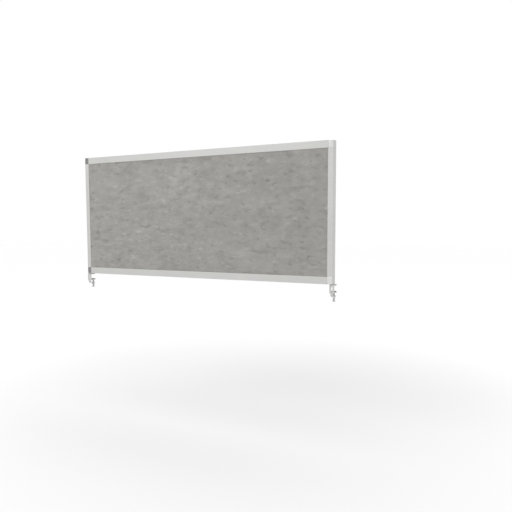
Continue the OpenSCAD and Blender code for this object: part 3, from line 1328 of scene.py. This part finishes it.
@dataclass(frozen=True)
class FeltPanel:
    """Two felt sheets on an absorber core, held in the frame's channel."""

    cell: float = 4 * MM
    swell: float = 0.55 * MM
    relief: float = 0.9 * MM
    fade: float = 16 * MM
    felt_crease: float = 60.0
    core_round: float = 0.8 * MM
    felts: tuple[Felt, ...] = (Felt("front_felt", -1, 3.0, 11.0), Felt("rear_felt", 1, 8.0, 21.0))

    @property
    def notch_x(self) -> float:
        """Half the panel's width between the notches at its corners."""
        return box_of("top_rail")[1].x - FrameMembers().panel_gap

    @property
    def notch_low(self) -> float:
        """Z of the upper end of its lower notches."""
        return box_of("bottom_rail")[1].z + FrameMembers().panel_gap

    @property
    def notch_high(self) -> float:
        """Z of the lower end of its upper notches."""
        return box_of("top_rail")[0].z - FrameMembers().panel_gap

    def lines(self, outer: float, notch: float) -> list[float]:
        """Grid lines across the panel, symmetric about 0.

        Args:
            outer: Half the panel's size.
            notch: Half its size between the notches at its corners.

        Returns:
            The lines, from low to high.
        """
        count = math.ceil(2 * notch / self.cell)
        inner = [notch * (2 * i / count - 1) for i in range(count + 1)]
        return [-outer, *inner, outer]

    def rim(self, across: int, up: int) -> list[tuple[int, int]]:
        """Points round a grid that lacks the cell at each of its corners, counterclockwise.

        Args:
            across: Number of cells across the grid.
            up: Number of cells up it.

        Returns:
            The points' places in the grid.
        """
        out = [(i, 0) for i in range(1, across)]
        out += [(across - 1, 1), *((across, j) for j in range(1, up)), (across - 1, up - 1)]
        out += [(i, up) for i in range(across - 1, 0, -1)]
        return out + [(1, up - 1), *((0, j) for j in range(up - 1, 0, -1)), (1, 1)]

    def sheet(self, felt: Felt, finish: bpy.types.Material) -> bpy.types.Object:
        """Builds one felt sheet, its outer face a fine grid and its back flat.

        Args:
            felt: Which of the sheets.
            finish: Its material.

        Returns:
            The piece.
        """
        low, high = box_of(felt.node)
        middle = (low.z + high.z) / 2
        xs = self.lines(high.x, self.notch_x)
        zs = self.lines(high.z - middle, (self.notch_high - self.notch_low) / 2)
        face, back = (low.y, high.y) if felt.out < 0 else (high.y, low.y)
        bm = bmesh.new()
        grid = [[bm.verts.new((x, face, middle + z)) for z in zs] for x in xs]
        last_x, last_z = len(xs) - 2, len(zs) - 2
        for i in range(len(xs) - 1):
            for j in range(len(zs) - 1):
                if i not in (0, last_x) or j not in (0, last_z):
                    bm.faces.new((grid[i][j], grid[i + 1][j], grid[i + 1][j + 1], grid[i][j + 1]))
        bmesh.ops.delete(bm, geom=[v for v in bm.verts if not v.link_faces], context="VERTS")
        front = [grid[i][j] for i, j in self.rim(len(xs) - 1, len(zs) - 1)]
        behind = [bm.verts.new((v.co.x, back, v.co.z)) for v in front]
        for i in range(len(front)):
            bm.faces.new((front[i - 1], front[i], behind[i], behind[i - 1]))
        bm.faces.new(behind)
        made = piece(f"{felt.node}_sheet", bm)
        recipe(NeedledRelief).run(made, finish, {
            "Face": face, "Out": float(felt.out), "Half Width": box_of("top_rail")[1].x,
            "Low": box_of("bottom_rail")[1].z, "High": box_of("top_rail")[0].z,
            "Fade": self.fade, "Swell": self.swell, "Relief": self.relief, "Seed": felt.relief_seed,
        })
        return shaded(made, self.felt_crease)

    def core(self) -> bpy.types.Object:
        """Builds the absorber core with softly rounded edges.

        Returns:
            The piece.
        """
        low, high = box_of("absorber_core")
        x, bottom, top = self.notch_x, self.notch_low, self.notch_high
        outline = (
            (-x, low.z), (x, low.z), (x, bottom), (high.x, bottom), (high.x, top), (x, top),
            (x, high.z), (-x, high.z), (-x, top), (low.x, top), (low.x, bottom), (-x, bottom),
        )
        bm = bmesh.new()
        plate(bm, [Loop(outline, rounded_steps(high.y - low.y, self.core_round))])
        placed(bm, lambda x, z, y: (x, low.y + y, z))
        return shaded(piece("absorber_core_board", bm))

    def declared(self, felt: Felt) -> None:
        """Works out the area of a felt's flat cut, a rectangle with a small square off each corner; the
        area is not kept.

        Args:
            felt: Which of the sheets it is.
        """
        low, high = box_of(felt.node)
        wide, tall = high.x - low.x, high.z - low.z
        area = wide * tall - 4 * (high.x - self.notch_x) * (high.z - self.notch_high)

    def build(self) -> list[bpy.types.Object]:
        """Builds and dresses the panel's three layers.

        Returns:
            The core and the two felts.
        """
        core = dress(self.core(), "screen", "absorber", FibreFill().make(), "absorber_core")
        layers = [core]
        for felt in self.felts:
            finish = PressedFelt(felt.fibre_seed).make()
            made = dress(self.sheet(felt, finish), "screen", "felt", finish, felt.node)
            self.declared(felt)
            layers.append(made)
        return layers


@dataclass(frozen=True)
class ClampFinishes:
    """The materials that both clamps share.

    Attributes:
        coat: Powder coat of the bent strips.
        zinc: Zinc plate of screws, nuts and plates.
        dark: Oiled steel of the spring clips.
        rubber: Rubber of pads and facings.
    """

    coat: bpy.types.Material
    zinc: bpy.types.Material
    dark: bpy.types.Material
    rubber: bpy.types.Material


@dataclass(frozen=True)
class BentStrip:
    """The way of a flat strip round a clamp: jaw, bend, upright, bend and arm, from the side.

    Attributes:
        reach: Y of the jaw's end.
        jaw_under: Z of the jaw's lower face.
        arm_top: Z of the arm's upper face.
        upper_r: Inner radius of the bend below the jaw.
        lower_r: Inner radius of the bend above the arm.
    """

    reach: float
    jaw_under: float
    arm_top: float
    upper_r: float
    lower_r: float

    @property
    def upright_top(self) -> float:
        """Z of the upright's upper end."""
        return self.jaw_under - self.upper_r

    @property
    def upright_low(self) -> float:
        """Z of the upright's lower end."""
        return self.arm_top + self.lower_r

    @property
    def jaw_end(self) -> float:
        """Run from the jaw's end to the upper bend."""
        return self.reach - self.upper_r

    @property
    def upright_start(self) -> float:
        """Run to the upright."""
        return self.jaw_end + QUARTER * self.upper_r

    @property
    def upright_end(self) -> float:
        """Run to the lower bend."""
        return self.upright_start + self.upright_top - self.upright_low

    @property
    def arm_start(self) -> float:
        """Run to the arm."""
        return self.upright_end + QUARTER * self.lower_r

    def creases(self, upper_parts: int, lower_parts: int) -> list[float]:
        """Runs at which the flat blank is cut across, so that its faces can follow the bends.

        Args:
            upper_parts: Facets in the upper bend.
            lower_parts: Facets in the lower bend.

        Returns:
            The runs.
        """
        out = [self.jaw_end + QUARTER * self.upper_r * i / upper_parts for i in range(upper_parts + 1)]
        out += [self.upright_end + QUARTER * self.lower_r * i / lower_parts for i in range(lower_parts + 1)]
        return out

    def folded(self, run: float, height: float) -> Point:
        """Where a point of the flat blank lies once the strip is bent.

        Args:
            run: How far along the blank it lies.
            height: How far above the blank's inner face it lies.

        Returns:
            Its Y and Z.
        """
        if run < self.jaw_end:
            return self.reach - run, self.jaw_under + height
        if run < self.upright_start:
            turn, r = (run - self.jaw_end) / self.upper_r, self.upper_r + height
            return self.upper_r - r * math.sin(turn), self.upright_top + r * math.cos(turn)
        if run < self.upright_end:
            return -height, self.upright_top - (run - self.upright_start)
        if run < self.arm_start:
            turn, r = (run - self.upright_end) / self.lower_r, self.lower_r + height
            return self.lower_r - r * math.cos(turn), self.upright_low - r * math.sin(turn)
        return self.lower_r + run - self.arm_start, self.upright_low - self.lower_r - height


@dataclass(frozen=True)
class EdgeClamp:
    """One slotted edge clamp: bent strip, pad, screws, nut, clamp screw and pressure plate.

    Attributes:
        side: The end of the screen that it holds.
        finishes: The materials of its pieces.
    """

    side: Side
    finishes: ClampFinishes
    # Bent strip
    top_bend_r: float = 2 * MM
    low_bend_r: float = 6 * MM
    top_bend_parts: int = 8
    low_bend_parts: int = 12
    crease_snap: float = 0.001 * MM
    arm_w: float = 12 * MM
    slot_w: float = 6 * MM
    slot_drop: float = 5 * MM
    slot_l: float = 25 * MM
    arm_hole_d: float = 9 * MM
    strip_round: float = 0.5 * MM
    strip_crease: float = 50.0
    blank_corner_r: float = 1.2 * MM
    corner_parts: int = 4
    shoulder_parts: int = 10
    slot_parts: int = 16
    tip_parts: int = 32
    # Jaw pad
    pad_margin: float = 1 * MM
    pad_r: float = 3 * MM
    pad_corner_parts: int = 6
    rib_h: float = 0.6 * MM
    rib_sunk_share: float = 0.5
    rib_pitch: float = 2.6 * MM
    rib_foot_share: float = 0.7
    rib_crest_share: float = 0.4
    # Bracket screws
    fixing_d: float = 5 * MM
    fixing_head_d: float = 9.2 * MM
    fixing_room: float = 0.25 * MM
    fixing_key_r: float = 1.25 * MM
    fixing_key_depth: float = 2.5 * MM
    fixing_key_flare: float = 1.3
    fixing_pitch: float = 0.8 * MM
    fixing_thread_depth: float = 0.4 * MM
    # Nut
    nut_inset: float = 0.3 * MM
    nut_fall: float = QUARTER / 3
    nut_fall_parts: int = 5
    nut_crease: float = 25.0
    # Clamp screw
    head_h: float = 8 * MM
    head_chamfer: float = 0.8 * MM
    head_parts: int = 4
    flute_r: float = 0.6 * MM
    flute_count: int = 18
    socket_af: float = 6 * MM
    socket_depth: float = 5 * MM
    socket_flare: float = 1.25
    spindle_d: float = 8 * MM
    spindle_l: float = 37 * MM
    spindle_crease: float = 40.0
    journal_d: float = 6 * MM
    thread_pitch: float = 1.25 * MM
    thread_depth: float = 0.7 * MM
    rings_per_turn: int = 8
    bore_room: float = 0.05 * MM
    # Retaining ring, in its groove
    groove_depth: float = 0.5 * MM
    clip_gap: float = TURN / 14
    clip_flare: float = 1.4
    clip_round: float = 0.1 * MM
    clip_round_parts: int = 2
    clip_parts: tuple[int, int] = (48, 36)
    # Pressure plate and its facing
    neck_d: float = 14 * MM
    neck_h: float = 3 * MM
    well_d: float = 12 * MM
    well_depth: float = 3 * MM
    facing_groove_shares: Triple = (0.78, 0.54, 0.30)
    # All turned pieces
    rim_r: float = 0.4 * MM
    arc_middle_share: float = 0.3
    turned_parts: int = 180
    small_parts: int = 72

    def named(self, name: str) -> str:
        """A node's name on this side."""
        return f"{self.side.word}_{name}"

    def box(self, name: str) -> tuple[Vector, Vector]:
        """A node's lowest and highest corners on this side."""
        return box_of(self.named(name))

    @property
    def middle_x(self) -> float:
        """X of the clamp's middle plane."""
        low, high = self.box("clamp_screw")
        return (low.x + high.x) / 2

    @property
    def screw_y(self) -> float:
        """Y of the clamp screw's axis."""
        low, high = self.box("clamp_screw")
        return (low.y + high.y) / 2

    def on_screw(
        self, name: str, rings: Sequence[Ring], parts: int, closed: bool = False,
    ) -> bpy.types.Object:
        """Turns a piece about the clamp screw's axis.

        Args:
            name: The piece's name without its side.
            rings: Its outline.
            parts: Facets round it.
            closed: Whether the last ring joins the first.

        Returns:
            The piece.
        """
        bm = bmesh.new()
        turned(bm, rings, parts, closed)
        shifted(bm, self.middle_x, self.screw_y)
        return piece(self.named(name), bm)

    def strip(self) -> BentStrip:
        """The bracket's way, worked out from its node.

        Returns:
            The strip.
        """
        low, high = self.box("clamp_bracket")
        under, end = self.box("jaw_pad")[1].z, self.box("jaw_pad")[1].y
        arm_top = low.z + (high.z - under)
        return BentStrip(end + self.pad_margin, under, arm_top, self.top_bend_r, self.low_bend_r)

    def blank(self, strip: BentStrip) -> list[Loop]:
        """The strip's flat blank, with its slot and its holes.

        Args:
            strip: Its way once it is bent.

        Returns:
            The blank's outline, and then each opening.
        """
        low, high = self.box("clamp_bracket")
        screws_low, screws_high = self.box("bracket_screws")
        thick = high.z - strip.jaw_under
        half, neck, tip_r = (high.x - low.x) / 2, self.arm_w / 2, high.y - self.screw_y
        tip = strip.arm_start + self.screw_y - strip.lower_r
        slot_start, slot_r = strip.upright_start + strip.upright_top + self.slot_drop, self.slot_w / 2
        slot_high, slot_low = slot_start + slot_r, slot_start + self.slot_l - slot_r
        shoulder, throat = math.acos(neck / half), math.asin(neck / tip_r)
        corner = self.blank_corner_r
        outline = arc((half - corner, corner), corner, -QUARTER, 0.0, self.corner_parts)
        outline += arc((0.0, slot_low), half, 0.0, shoulder, self.shoulder_parts)
        outline += arc((0.0, tip), tip_r, throat - QUARTER, 3 * QUARTER - throat, self.tip_parts)
        outline += arc((0.0, slot_low), half, 2 * QUARTER - shoulder, 2 * QUARTER, self.shoulder_parts)
        outline += arc((corner - half, corner), corner, 2 * QUARTER, 3 * QUARTER, self.corner_parts)
        slot = arc((0.0, slot_low), slot_r, 0.0, 2 * QUARTER, self.slot_parts)
        slot += arc((0.0, slot_high), slot_r, 2 * QUARTER, 4 * QUARTER, self.slot_parts)
        rim = rounded_steps(thick, self.strip_round)
        loops = [Loop(tuple(outline), rim), Loop(tuple(slot), rim, hole=True)]
        loops.append(Loop(circle((0.0, tip), self.arm_hole_d / 2), rim, hole=True))
        head, hole = self.fixing_head_d / 2, self.fixing_d / 2 + self.fixing_room
        sink = head - hole
        sunk = ((sink, 0.0), (0.0, sink), (0.0, thick - self.rim_r), (self.rim_r, thick))
        screw_x = (screws_low.x + screws_high.x) / 2 - self.middle_x
        for y in (screws_low.y + head, screws_high.y - head):
            loops.append(Loop(circle((screw_x, strip.reach - y), hole), sunk, hole=True))
        return loops

    def bracket(self) -> bpy.types.Object:
        """Builds the bracket as it is made: a pierced flat blank, bent twice.

        Returns:
            The piece.
        """
        strip = self.strip()
        bm = bmesh.new()
        plate(bm, self.blank(strip))
        for run in strip.creases(self.top_bend_parts, self.low_bend_parts):
            everything = [*bm.verts, *bm.edges, *bm.faces]
            spot, along = (0, run, 0), (0, 1, 0)
            bmesh.ops.bisect_plane(
                bm, geom=everything, dist=self.crease_snap, plane_co=spot, plane_no=along)
        placed(bm, lambda x, run, height: (x + self.middle_x, *strip.folded(run, height)))
        return shaded(piece(self.named("clamp_bracket_strip"), bm), self.strip_crease)

    def jaw_pad(self) -> bpy.types.Object:
        """Builds the rubber pad with the ribs that grip the board.

        Returns:
            The piece.
        """
        low, high = self.box("jaw_pad")
        bm = bmesh.new()
        outline = rounded_box((low.x, low.y), (high.x, high.y), self.pad_r, self.pad_corner_parts)
        plate(bm, [Loop(outline, rounded_steps(high.z - low.z - self.rib_h, self.rim_r))])
        shifted(bm, z=low.z + self.rib_h)
        made = piece(self.named("jaw_pad_moulding"), bm)
        count = int((high.y - low.y - self.pad_r) / self.rib_pitch)
        whole = self.rib_h * (1.0 + self.rib_sunk_share)
        recipe(TreadRibs).run(made, self.finishes.rubber, {
            "Middle X": (low.x + high.x) / 2,
            "First Y": (low.y + high.y - (count - 1) * self.rib_pitch) / 2,
            "Base Z": low.z + whole / 2,
            "Height": whole,
            "Length": high.x - low.x - self.pad_r,
            "Foot": self.rib_pitch * self.rib_foot_share,
            "Crest": self.rib_pitch * self.rib_crest_share,
            "Pitch": self.rib_pitch,
            "Count": float(count),
        })
        return shaded(made)

    def bracket_screws(self) -> bpy.types.Object:
        """Builds the two countersunk screws from the bracket up into the corner.

        Returns:
            The pair, in one piece.
        """
        low, high = self.box("bracket_screws")
        shank, head, rim = self.fixing_d / 2, self.fixing_head_d / 2, self.rim_r
        key, key_end, neck = self.fixing_key_r, low.z + self.fixing_key_depth, low.z + head - shank
        flare = key * self.fixing_key_flare
        steps = round((high.z - neck) / self.fixing_pitch * self.rings_per_turn)
        rings = [
            Ring(0.0, key_end),
            Ring(key, key_end, Form.HEXAGON),
            Ring(key, low.z + rim / 2, Form.HEXAGON),
            *rings_at((flare, low.z), (head - rim / 2, low.z), (head, low.z + rim / 2)),
            *rings_up(shank, neck, high.z - rim, steps),
            *rings_at((shank - rim, high.z), (0.0, high.z)),
        ]
        bm = bmesh.new()
        turned(bm, rings, self.small_parts)
        spot = ((low.x + high.x) / 2, low.y + head)
        shifted(bm, *spot)
        made = piece(self.named("bracket_screw_pair"), bm)
        recipe(ThreadCut).run(made, self.finishes.zinc, {
            "Axis X": spot[0], "Axis Y": spot[1], "Start": neck, "End": high.z, "Radius": shank,
            "Pitch": self.fixing_pitch, "Depth": self.fixing_thread_depth, "Runout": self.fixing_pitch,
        })
        step = high.y - low.y - 2 * head
        recipe(RowOf).run(made, self.finishes.zinc, {"Count": 2.0, "Step Y": step})
        return shaded(made)

    def nut(self) -> bpy.types.Object:
        """Builds the hexagon nut, its corners turned down at both ends.

        Returns:
            The piece.
        """
        low, high = self.box("clamp_nut")
        flats, point = (high.y - low.y) / 2, (high.x - low.x) / 2
        bore, rim = self.spindle_d / 2 + self.bore_room, self.rim_r
        start = flats - self.nut_inset
        fall = (point - start) * math.tan(self.nut_fall)
        shares = [i / self.nut_fall_parts for i in range(self.nut_fall_parts + 1)]
        turn_down = [(start + (point - start) * share, fall * share) for share in shares]
        rings = [
            *rings_at((bore, low.z + rim), (bore + rim, low.z)),
            *(Ring(flats, low.z + z, Form.HEXAGON, r) for r, z in turn_down),
            *(Ring(flats, high.z - z, Form.HEXAGON, r) for r, z in reversed(turn_down)),
            *rings_at((bore + rim, high.z), (bore, high.z - rim)),
        ]
        made = self.on_screw("clamp_nut_hexagon", rings, self.small_parts * 2, closed=True)
        return shaded(made, self.nut_crease)

    def clamp_screw(self) -> bpy.types.Object:
        """Builds the clamp screw: fluted head with a key socket, thread, journal and groove.

        Returns:
            The piece.
        """
        low, high = self.box("clamp_screw")
        ring_low, ring_high = self.box("retaining_ring")
        head, key = (high.x - low.x) / 2, self.socket_af / 2
        chamfer, rim = self.head_chamfer, self.rim_r
        shank, journal = self.spindle_d / 2, self.journal_d / 2
        head_top, shoulder = low.z + self.head_h, low.z + self.spindle_l
        thread_low, thread_high = head_top + rim, shoulder - rim
        steps = round((thread_high - thread_low) / self.thread_pitch * self.rings_per_turn)
        groove_low, groove_high = ring_low.z - self.bore_room, ring_high.z + self.bore_room
        deep = journal - self.groove_depth
        rings = [
            Ring(0.0, low.z + self.socket_depth),
            Ring(key, low.z + self.socket_depth, Form.HEXAGON),
            Ring(key, low.z + rim, Form.HEXAGON),
            *rings_at((key * self.socket_flare, low.z), (head - chamfer, low.z)),
            *rings_up(head, low.z + chamfer, head_top - chamfer, self.head_parts),
            *rings_at((head - chamfer, head_top), (shank + rim, head_top)),
            *rings_up(shank, thread_low, thread_high, steps),
            *rings_at((shank - rim, shoulder), (journal, shoulder)),
            *rings_at((journal, groove_low), (deep, groove_low)),
            *rings_at((deep, groove_high), (journal, groove_high)),
            *rings_at((journal, high.z - rim), (journal - rim, high.z), (0.0, high.z)),
        ]
        made = self.on_screw("clamp_screw_spindle", rings, self.turned_parts)
        axis = {"Axis X": self.middle_x, "Axis Y": self.screw_y}
        recipe(ThreadCut).run(made, self.finishes.zinc, {
            **axis, "Start": thread_low, "End": thread_high, "Radius": shank,
            "Pitch": self.thread_pitch, "Depth": self.thread_depth, "Runout": self.thread_pitch,
        })
        recipe(FluteCut).run(made, self.finishes.zinc, {
            **axis, "Start": low.z - rim, "End": head_top - chamfer / 2, "Radius": head,
            "Count": float(self.flute_count), "Flute": self.flute_r,
        })
        return shaded(made, self.spindle_crease)

    def retaining_ring(self) -> bpy.types.Object:
        """Builds the open spring clip in the journal's groove.

        Returns:
            The piece.
        """
        low, high = self.box("retaining_ring")
        outer = (high.x - low.x) / 2
        inner = self.journal_d / 2 - self.groove_depth + self.bore_room
        gap, inner_gap = self.clip_gap, self.clip_gap * self.clip_flare
        outline = arc((0.0, 0.0), outer, gap, TURN - gap, self.clip_parts[0])
        outline += arc((0.0, 0.0), inner, TURN - inner_gap, inner_gap, self.clip_parts[1])
        steps = rounded_steps(high.z - low.z, self.clip_round, self.clip_round_parts)
        bm = bmesh.new()
        plate(bm, [Loop(tuple(outline), steps)])
        shifted(bm, self.middle_x, self.screw_y, low.z)
        return shaded(piece(self.named("retaining_ring_clip"), bm))

    def pressure_plate(self) -> bpy.types.Object:
        """Builds the turned pressure plate with its neck and its well.

        Returns:
            The piece.
        """
        low, high = self.box("pressure_plate")
        disc, neck, well = (high.x - low.x) / 2, self.neck_d / 2, self.well_d / 2
        bore, rim = self.journal_d / 2 + self.bore_room, self.rim_r
        under, bottom, bend = low.z + self.neck_h, high.z - self.well_depth, rim * self.arc_middle_share
        rings = rings_at(
            (bore, low.z + rim), (bore + rim, low.z), (neck - rim, low.z), (neck, low.z + rim),
            (neck, under - rim), (neck + bend, under - bend), (neck + rim, under),
            (disc - rim, under), (disc, under + rim), (disc, high.z - rim), (disc - rim, high.z),
            (well + rim, high.z), (well, high.z - rim), (well, bottom), (bore, bottom),
        )
        return shaded(self.on_screw("pressure_plate_turning", rings, self.small_parts, closed=True))

    def plate_facing(self) -> bpy.types.Object:
        """Builds the rubber facing with round grooves in its gripping face.

        Returns:
            The piece.
        """
        low, high = self.box("plate_facing")
        disc, rim, bend = (high.x - low.x) / 2, self.rim_r, self.rim_r * self.arc_middle_share
        top, sunk = high.z, high.z - rim
        spots = [(0.0, low.z), (disc, low.z), (disc, sunk), (disc - bend, top - bend), (disc - rim, top)]
        for groove in (disc * share for share in self.facing_groove_shares):
            spots += [(groove + rim, top), (groove + rim / 2, sunk)]
            spots += [(groove - rim / 2, sunk), (groove - rim, top)]
        rings = rings_at(*spots, (0.0, top))
        return shaded(self.on_screw("plate_facing_disc", rings, self.small_parts))

    def build(self) -> list[bpy.types.Object]:
        """Builds and dresses every piece of the clamp.

        Returns:
            The pieces.
        """
        spindle, pad = self.named("spindle"), self.named("pressure_pad")
        look = self.finishes
        plan = [
            (self.bracket, "screen", "bracket_steel", look.coat, "clamp_bracket"),
            (self.jaw_pad, "screen", "rubber", look.rubber, "jaw_pad"),
            (self.bracket_screws, "screen", "zinc_steel", look.zinc, "bracket_screws"),
            (self.nut, "screen", "zinc_steel", look.zinc, "clamp_nut"),
            (self.clamp_screw, spindle, "zinc_steel", look.zinc, "clamp_screw"),
            (self.retaining_ring, spindle, "ring_steel", look.dark, "retaining_ring"),
            (self.pressure_plate, pad, "zinc_steel", look.zinc, "pressure_plate"),
            (self.plate_facing, pad, "rubber", look.rubber, "plate_facing"),
        ]
        return [
            dress(make(), body, slot, material, self.named(node))
            for make, body, slot, material, node in plan
        ]


# The studio


@dataclass(frozen=True)
class MirrorCard:
    """A card that only polished metal mirrors, as a product studio uses them.

    Attributes:
        name: Its name.
        at: Where it stands, facing the screen.
        size: Its width and height.
        glow: How bright its mirror image is, where 1 is white.
    """

    name: str
    at: Triple
    size: Point
    glow: float


@dataclass(frozen=True)
class Studio:
    """Camera, floor and light, none of them part of the object."""

    camera_at: Triple = (1.5723, -2.2953, 0.2453)
    yaw: float = 27.32
    pitch: float = 4.92
    lens: float = 40.21
    sensor: float = 36.0
    shift: Point = (-0.0233, 0.0425)
    floor_z: float = -0.74
    floor_size: float = 60.0
    # The floor's colour is painted darker near the screen, as painted shade, and paler far off, as painted
    # light
    floor_grey: float = 0.74
    horizon_grey: float = 0.93
    floor_reach: Point = (0.8, 3.5)
    floor_roughness: float = 0.9
    ambient: float = 0.78
    top_light: float = 0.30
    top_softness: float = 60.0
    top_at: Triple = (0.0, 0.0, 4.0)
    key_at: Triple = (-1.6, -3.0, 2.6)
    key_size: float = 2.4
    key_power: float = 54.0
    fill_at: Triple = (4.0, 1.0, 0.8)
    fill_size: float = 2.0
    fill_power: float = 16.0
    cards: tuple[MirrorCard, ...] = (
        MirrorCard("left_mirror_card", (-3.0, -1.9, 0.1), (1.5, 2.2), 0.37),
        MirrorCard("front_mirror_card", (-1.1, -5.0, 0.3), (3.0, 2.6), 1.04),
        MirrorCard("right_mirror_card", (2.1, 3.2, 0.3), (3.0, 2.6), 0.79),
    )

    def camera(self) -> None:
        """Sets up the camera at the photograph's viewing angle."""
        data = bpy.data.cameras.new("camera")
        data.lens, data.sensor_width = self.lens, self.sensor
        data.shift_x, data.shift_y = self.shift
        data.clip_end = self.floor_size * 2
        made = bpy.data.objects.new("camera", data)
        made.location = self.camera_at
        made.rotation_euler = (QUARTER - math.radians(self.pitch), 0.0, math.radians(self.yaw))
        bpy.context.scene.collection.objects.link(made)
        bpy.context.scene.camera = made

    def sheet(
        self, name: str, size: Point, place: Place, material: bpy.types.Material,
    ) -> bpy.types.Object:
        """Adds a flat rectangle to the stage.

        Args:
            name: Its name.
            size: Its width and height.
            place: Where each of its points goes.
            material: Its finish.

        Returns:
            The sheet.
        """
        bm = bmesh.new()
        x, y = size[0] / 2, size[1] / 2
        bm.faces.new([bm.verts.new((*corner, 0.0)) for corner in ((-x, -y), (x, -y), (x, y), (-x, y))])
        placed(bm, place)
        made = piece(name, bm)
        made.data.materials.append(material)
        return made

    def floor(self) -> None:
        """Lays the pale floor, painted darker near the screen as painted shade and paler towards the
        horizon as painted light.
        """
        paint = Paint("pale_floor")
        away = paint.node("ShaderNodeVectorMath", {0: paint.here}, {"operation": "LENGTH"}, output="Value")
        # Painted shade and light: the floor's colour goes from darker near the screen to paler far off
        share = away.above(*self.floor_reach)
        tone = paint.mixed(share, even(self.floor_grey), even(self.horizon_grey))
        material = paint.finish({"Base Color": tone, "Roughness": self.floor_roughness})
        size = (self.floor_size, self.floor_size)
        self.sheet("floor", size, lambda x, y, z: (x, y, self.floor_z), material)

    def mirror_card(self, card: MirrorCard) -> None:
        """Stands one card where the camera, matt surfaces and shadows don't see it.

        Args:
            card: The card.
        """
        x, y, z = card.at
        turn = math.atan2(x, -y)
        glow = Paint(card.name).finish({
            "Base Color": (0.0, 0.0, 0.0, 1.0),
            "Specular IOR Level": 0.0,
            "Emission Color": (1.0, 1.0, 1.0, 1.0),
            "Emission Strength": card.glow,
        })

        def stand(u: float, v: float, w: float) -> Triple:
            """Where a point of the flat card goes: upright, and turned to face the screen."""
            return x + u * math.cos(turn), y + u * math.sin(turn), z + v

        made = self.sheet(card.name, card.size, stand, glow)
        made.visible_camera = False
        made.visible_diffuse = False
        made.visible_shadow = False

    def sky(self) -> None:
        """Surrounds the object with even white light on a white ground."""
        world = bpy.data.worlds.new("white_surround")
        world.use_nodes = True
        bench = Bench(world.node_tree)
        bench.clear()
        ray = bench.node("ShaderNodeLightPath", output="Is Camera Ray")
        strength = self.ambient + ray * (1.0 - self.ambient)
        light = bench.node("ShaderNodeBackground", {"Color": (1.0, 1.0, 1.0, 1.0), "Strength": strength})
        bench.node("ShaderNodeOutputWorld", {"Surface": light})
        bpy.context.scene.world = world

    def lamp(
        self, name: str, kind: str, at: Triple, settings: Mapping[str, float],
    ) -> bpy.types.Object:
        """Hangs a soft light that faces the screen.

        Args:
            name: Its name.
            kind: Blender's kind of light.
            at: Where it hangs.
            settings: Its power and its softness.

        Returns:
            The light.
        """
        data = bpy.data.lights.new(name, kind)
        for key, value in settings.items():
            setattr(data, key, value)
        made = bpy.data.objects.new(name, data)
        made.location = at
        made.rotation_euler = (-Vector(at)).to_track_quat("-Z", "Y").to_euler()
        bpy.context.scene.collection.objects.link(made)
        return made

    def build(self) -> None:
        """Sets the whole stage."""
        self.camera()
        self.floor()
        for card in self.cards:
            self.mirror_card(card)
        self.sky()
        settings = {"size": self.key_size, "energy": self.key_power}
        self.lamp("key_softbox", "AREA", self.key_at, settings)
        settings = {"size": self.fill_size, "energy": self.fill_power}
        fill = self.lamp("fill_softbox", "AREA", self.fill_at, settings)
        fill.visible_glossy = False
        settings = {"energy": self.top_light * math.pi, "angle": math.radians(self.top_softness)}
        self.lamp("top_light", "SUN", self.top_at, settings)
        bpy.context.scene.view_settings.view_transform = "Standard"


def report(title: str, made: Sequence[bpy.types.Object]) -> None:
    """Logs each piece of a sub-assembly with its size in triangles.

    Args:
        title: The sub-assembly.
        made: Its pieces.
    """
    for one in made:
        triangles = sum(len(p.vertices) - 2 for p in one.data.polygons)
        LOG.info("%s: %s, %d triangles", title, one.name, triangles)


def main() -> None:
    """Builds the stage, then the screen, one sub-assembly after the other."""
    logging.basicConfig(level=logging.INFO, format="%(message)s")
    Studio().build()
    finishes = ClampFinishes(
        PowderCoat().make(), ZincPlate().make(), OiledSteel().make(), MouldedRubber().make())
    report("frame members", FrameMembers().build())
    report("corner connectors", CornerConnectors().build())
    report("felt panel", FeltPanel().build())
    for side in Side:
        report(f"{side.word} clamp", EdgeClamp(side, finishes).build())


if __name__ == "__main__":
    main()
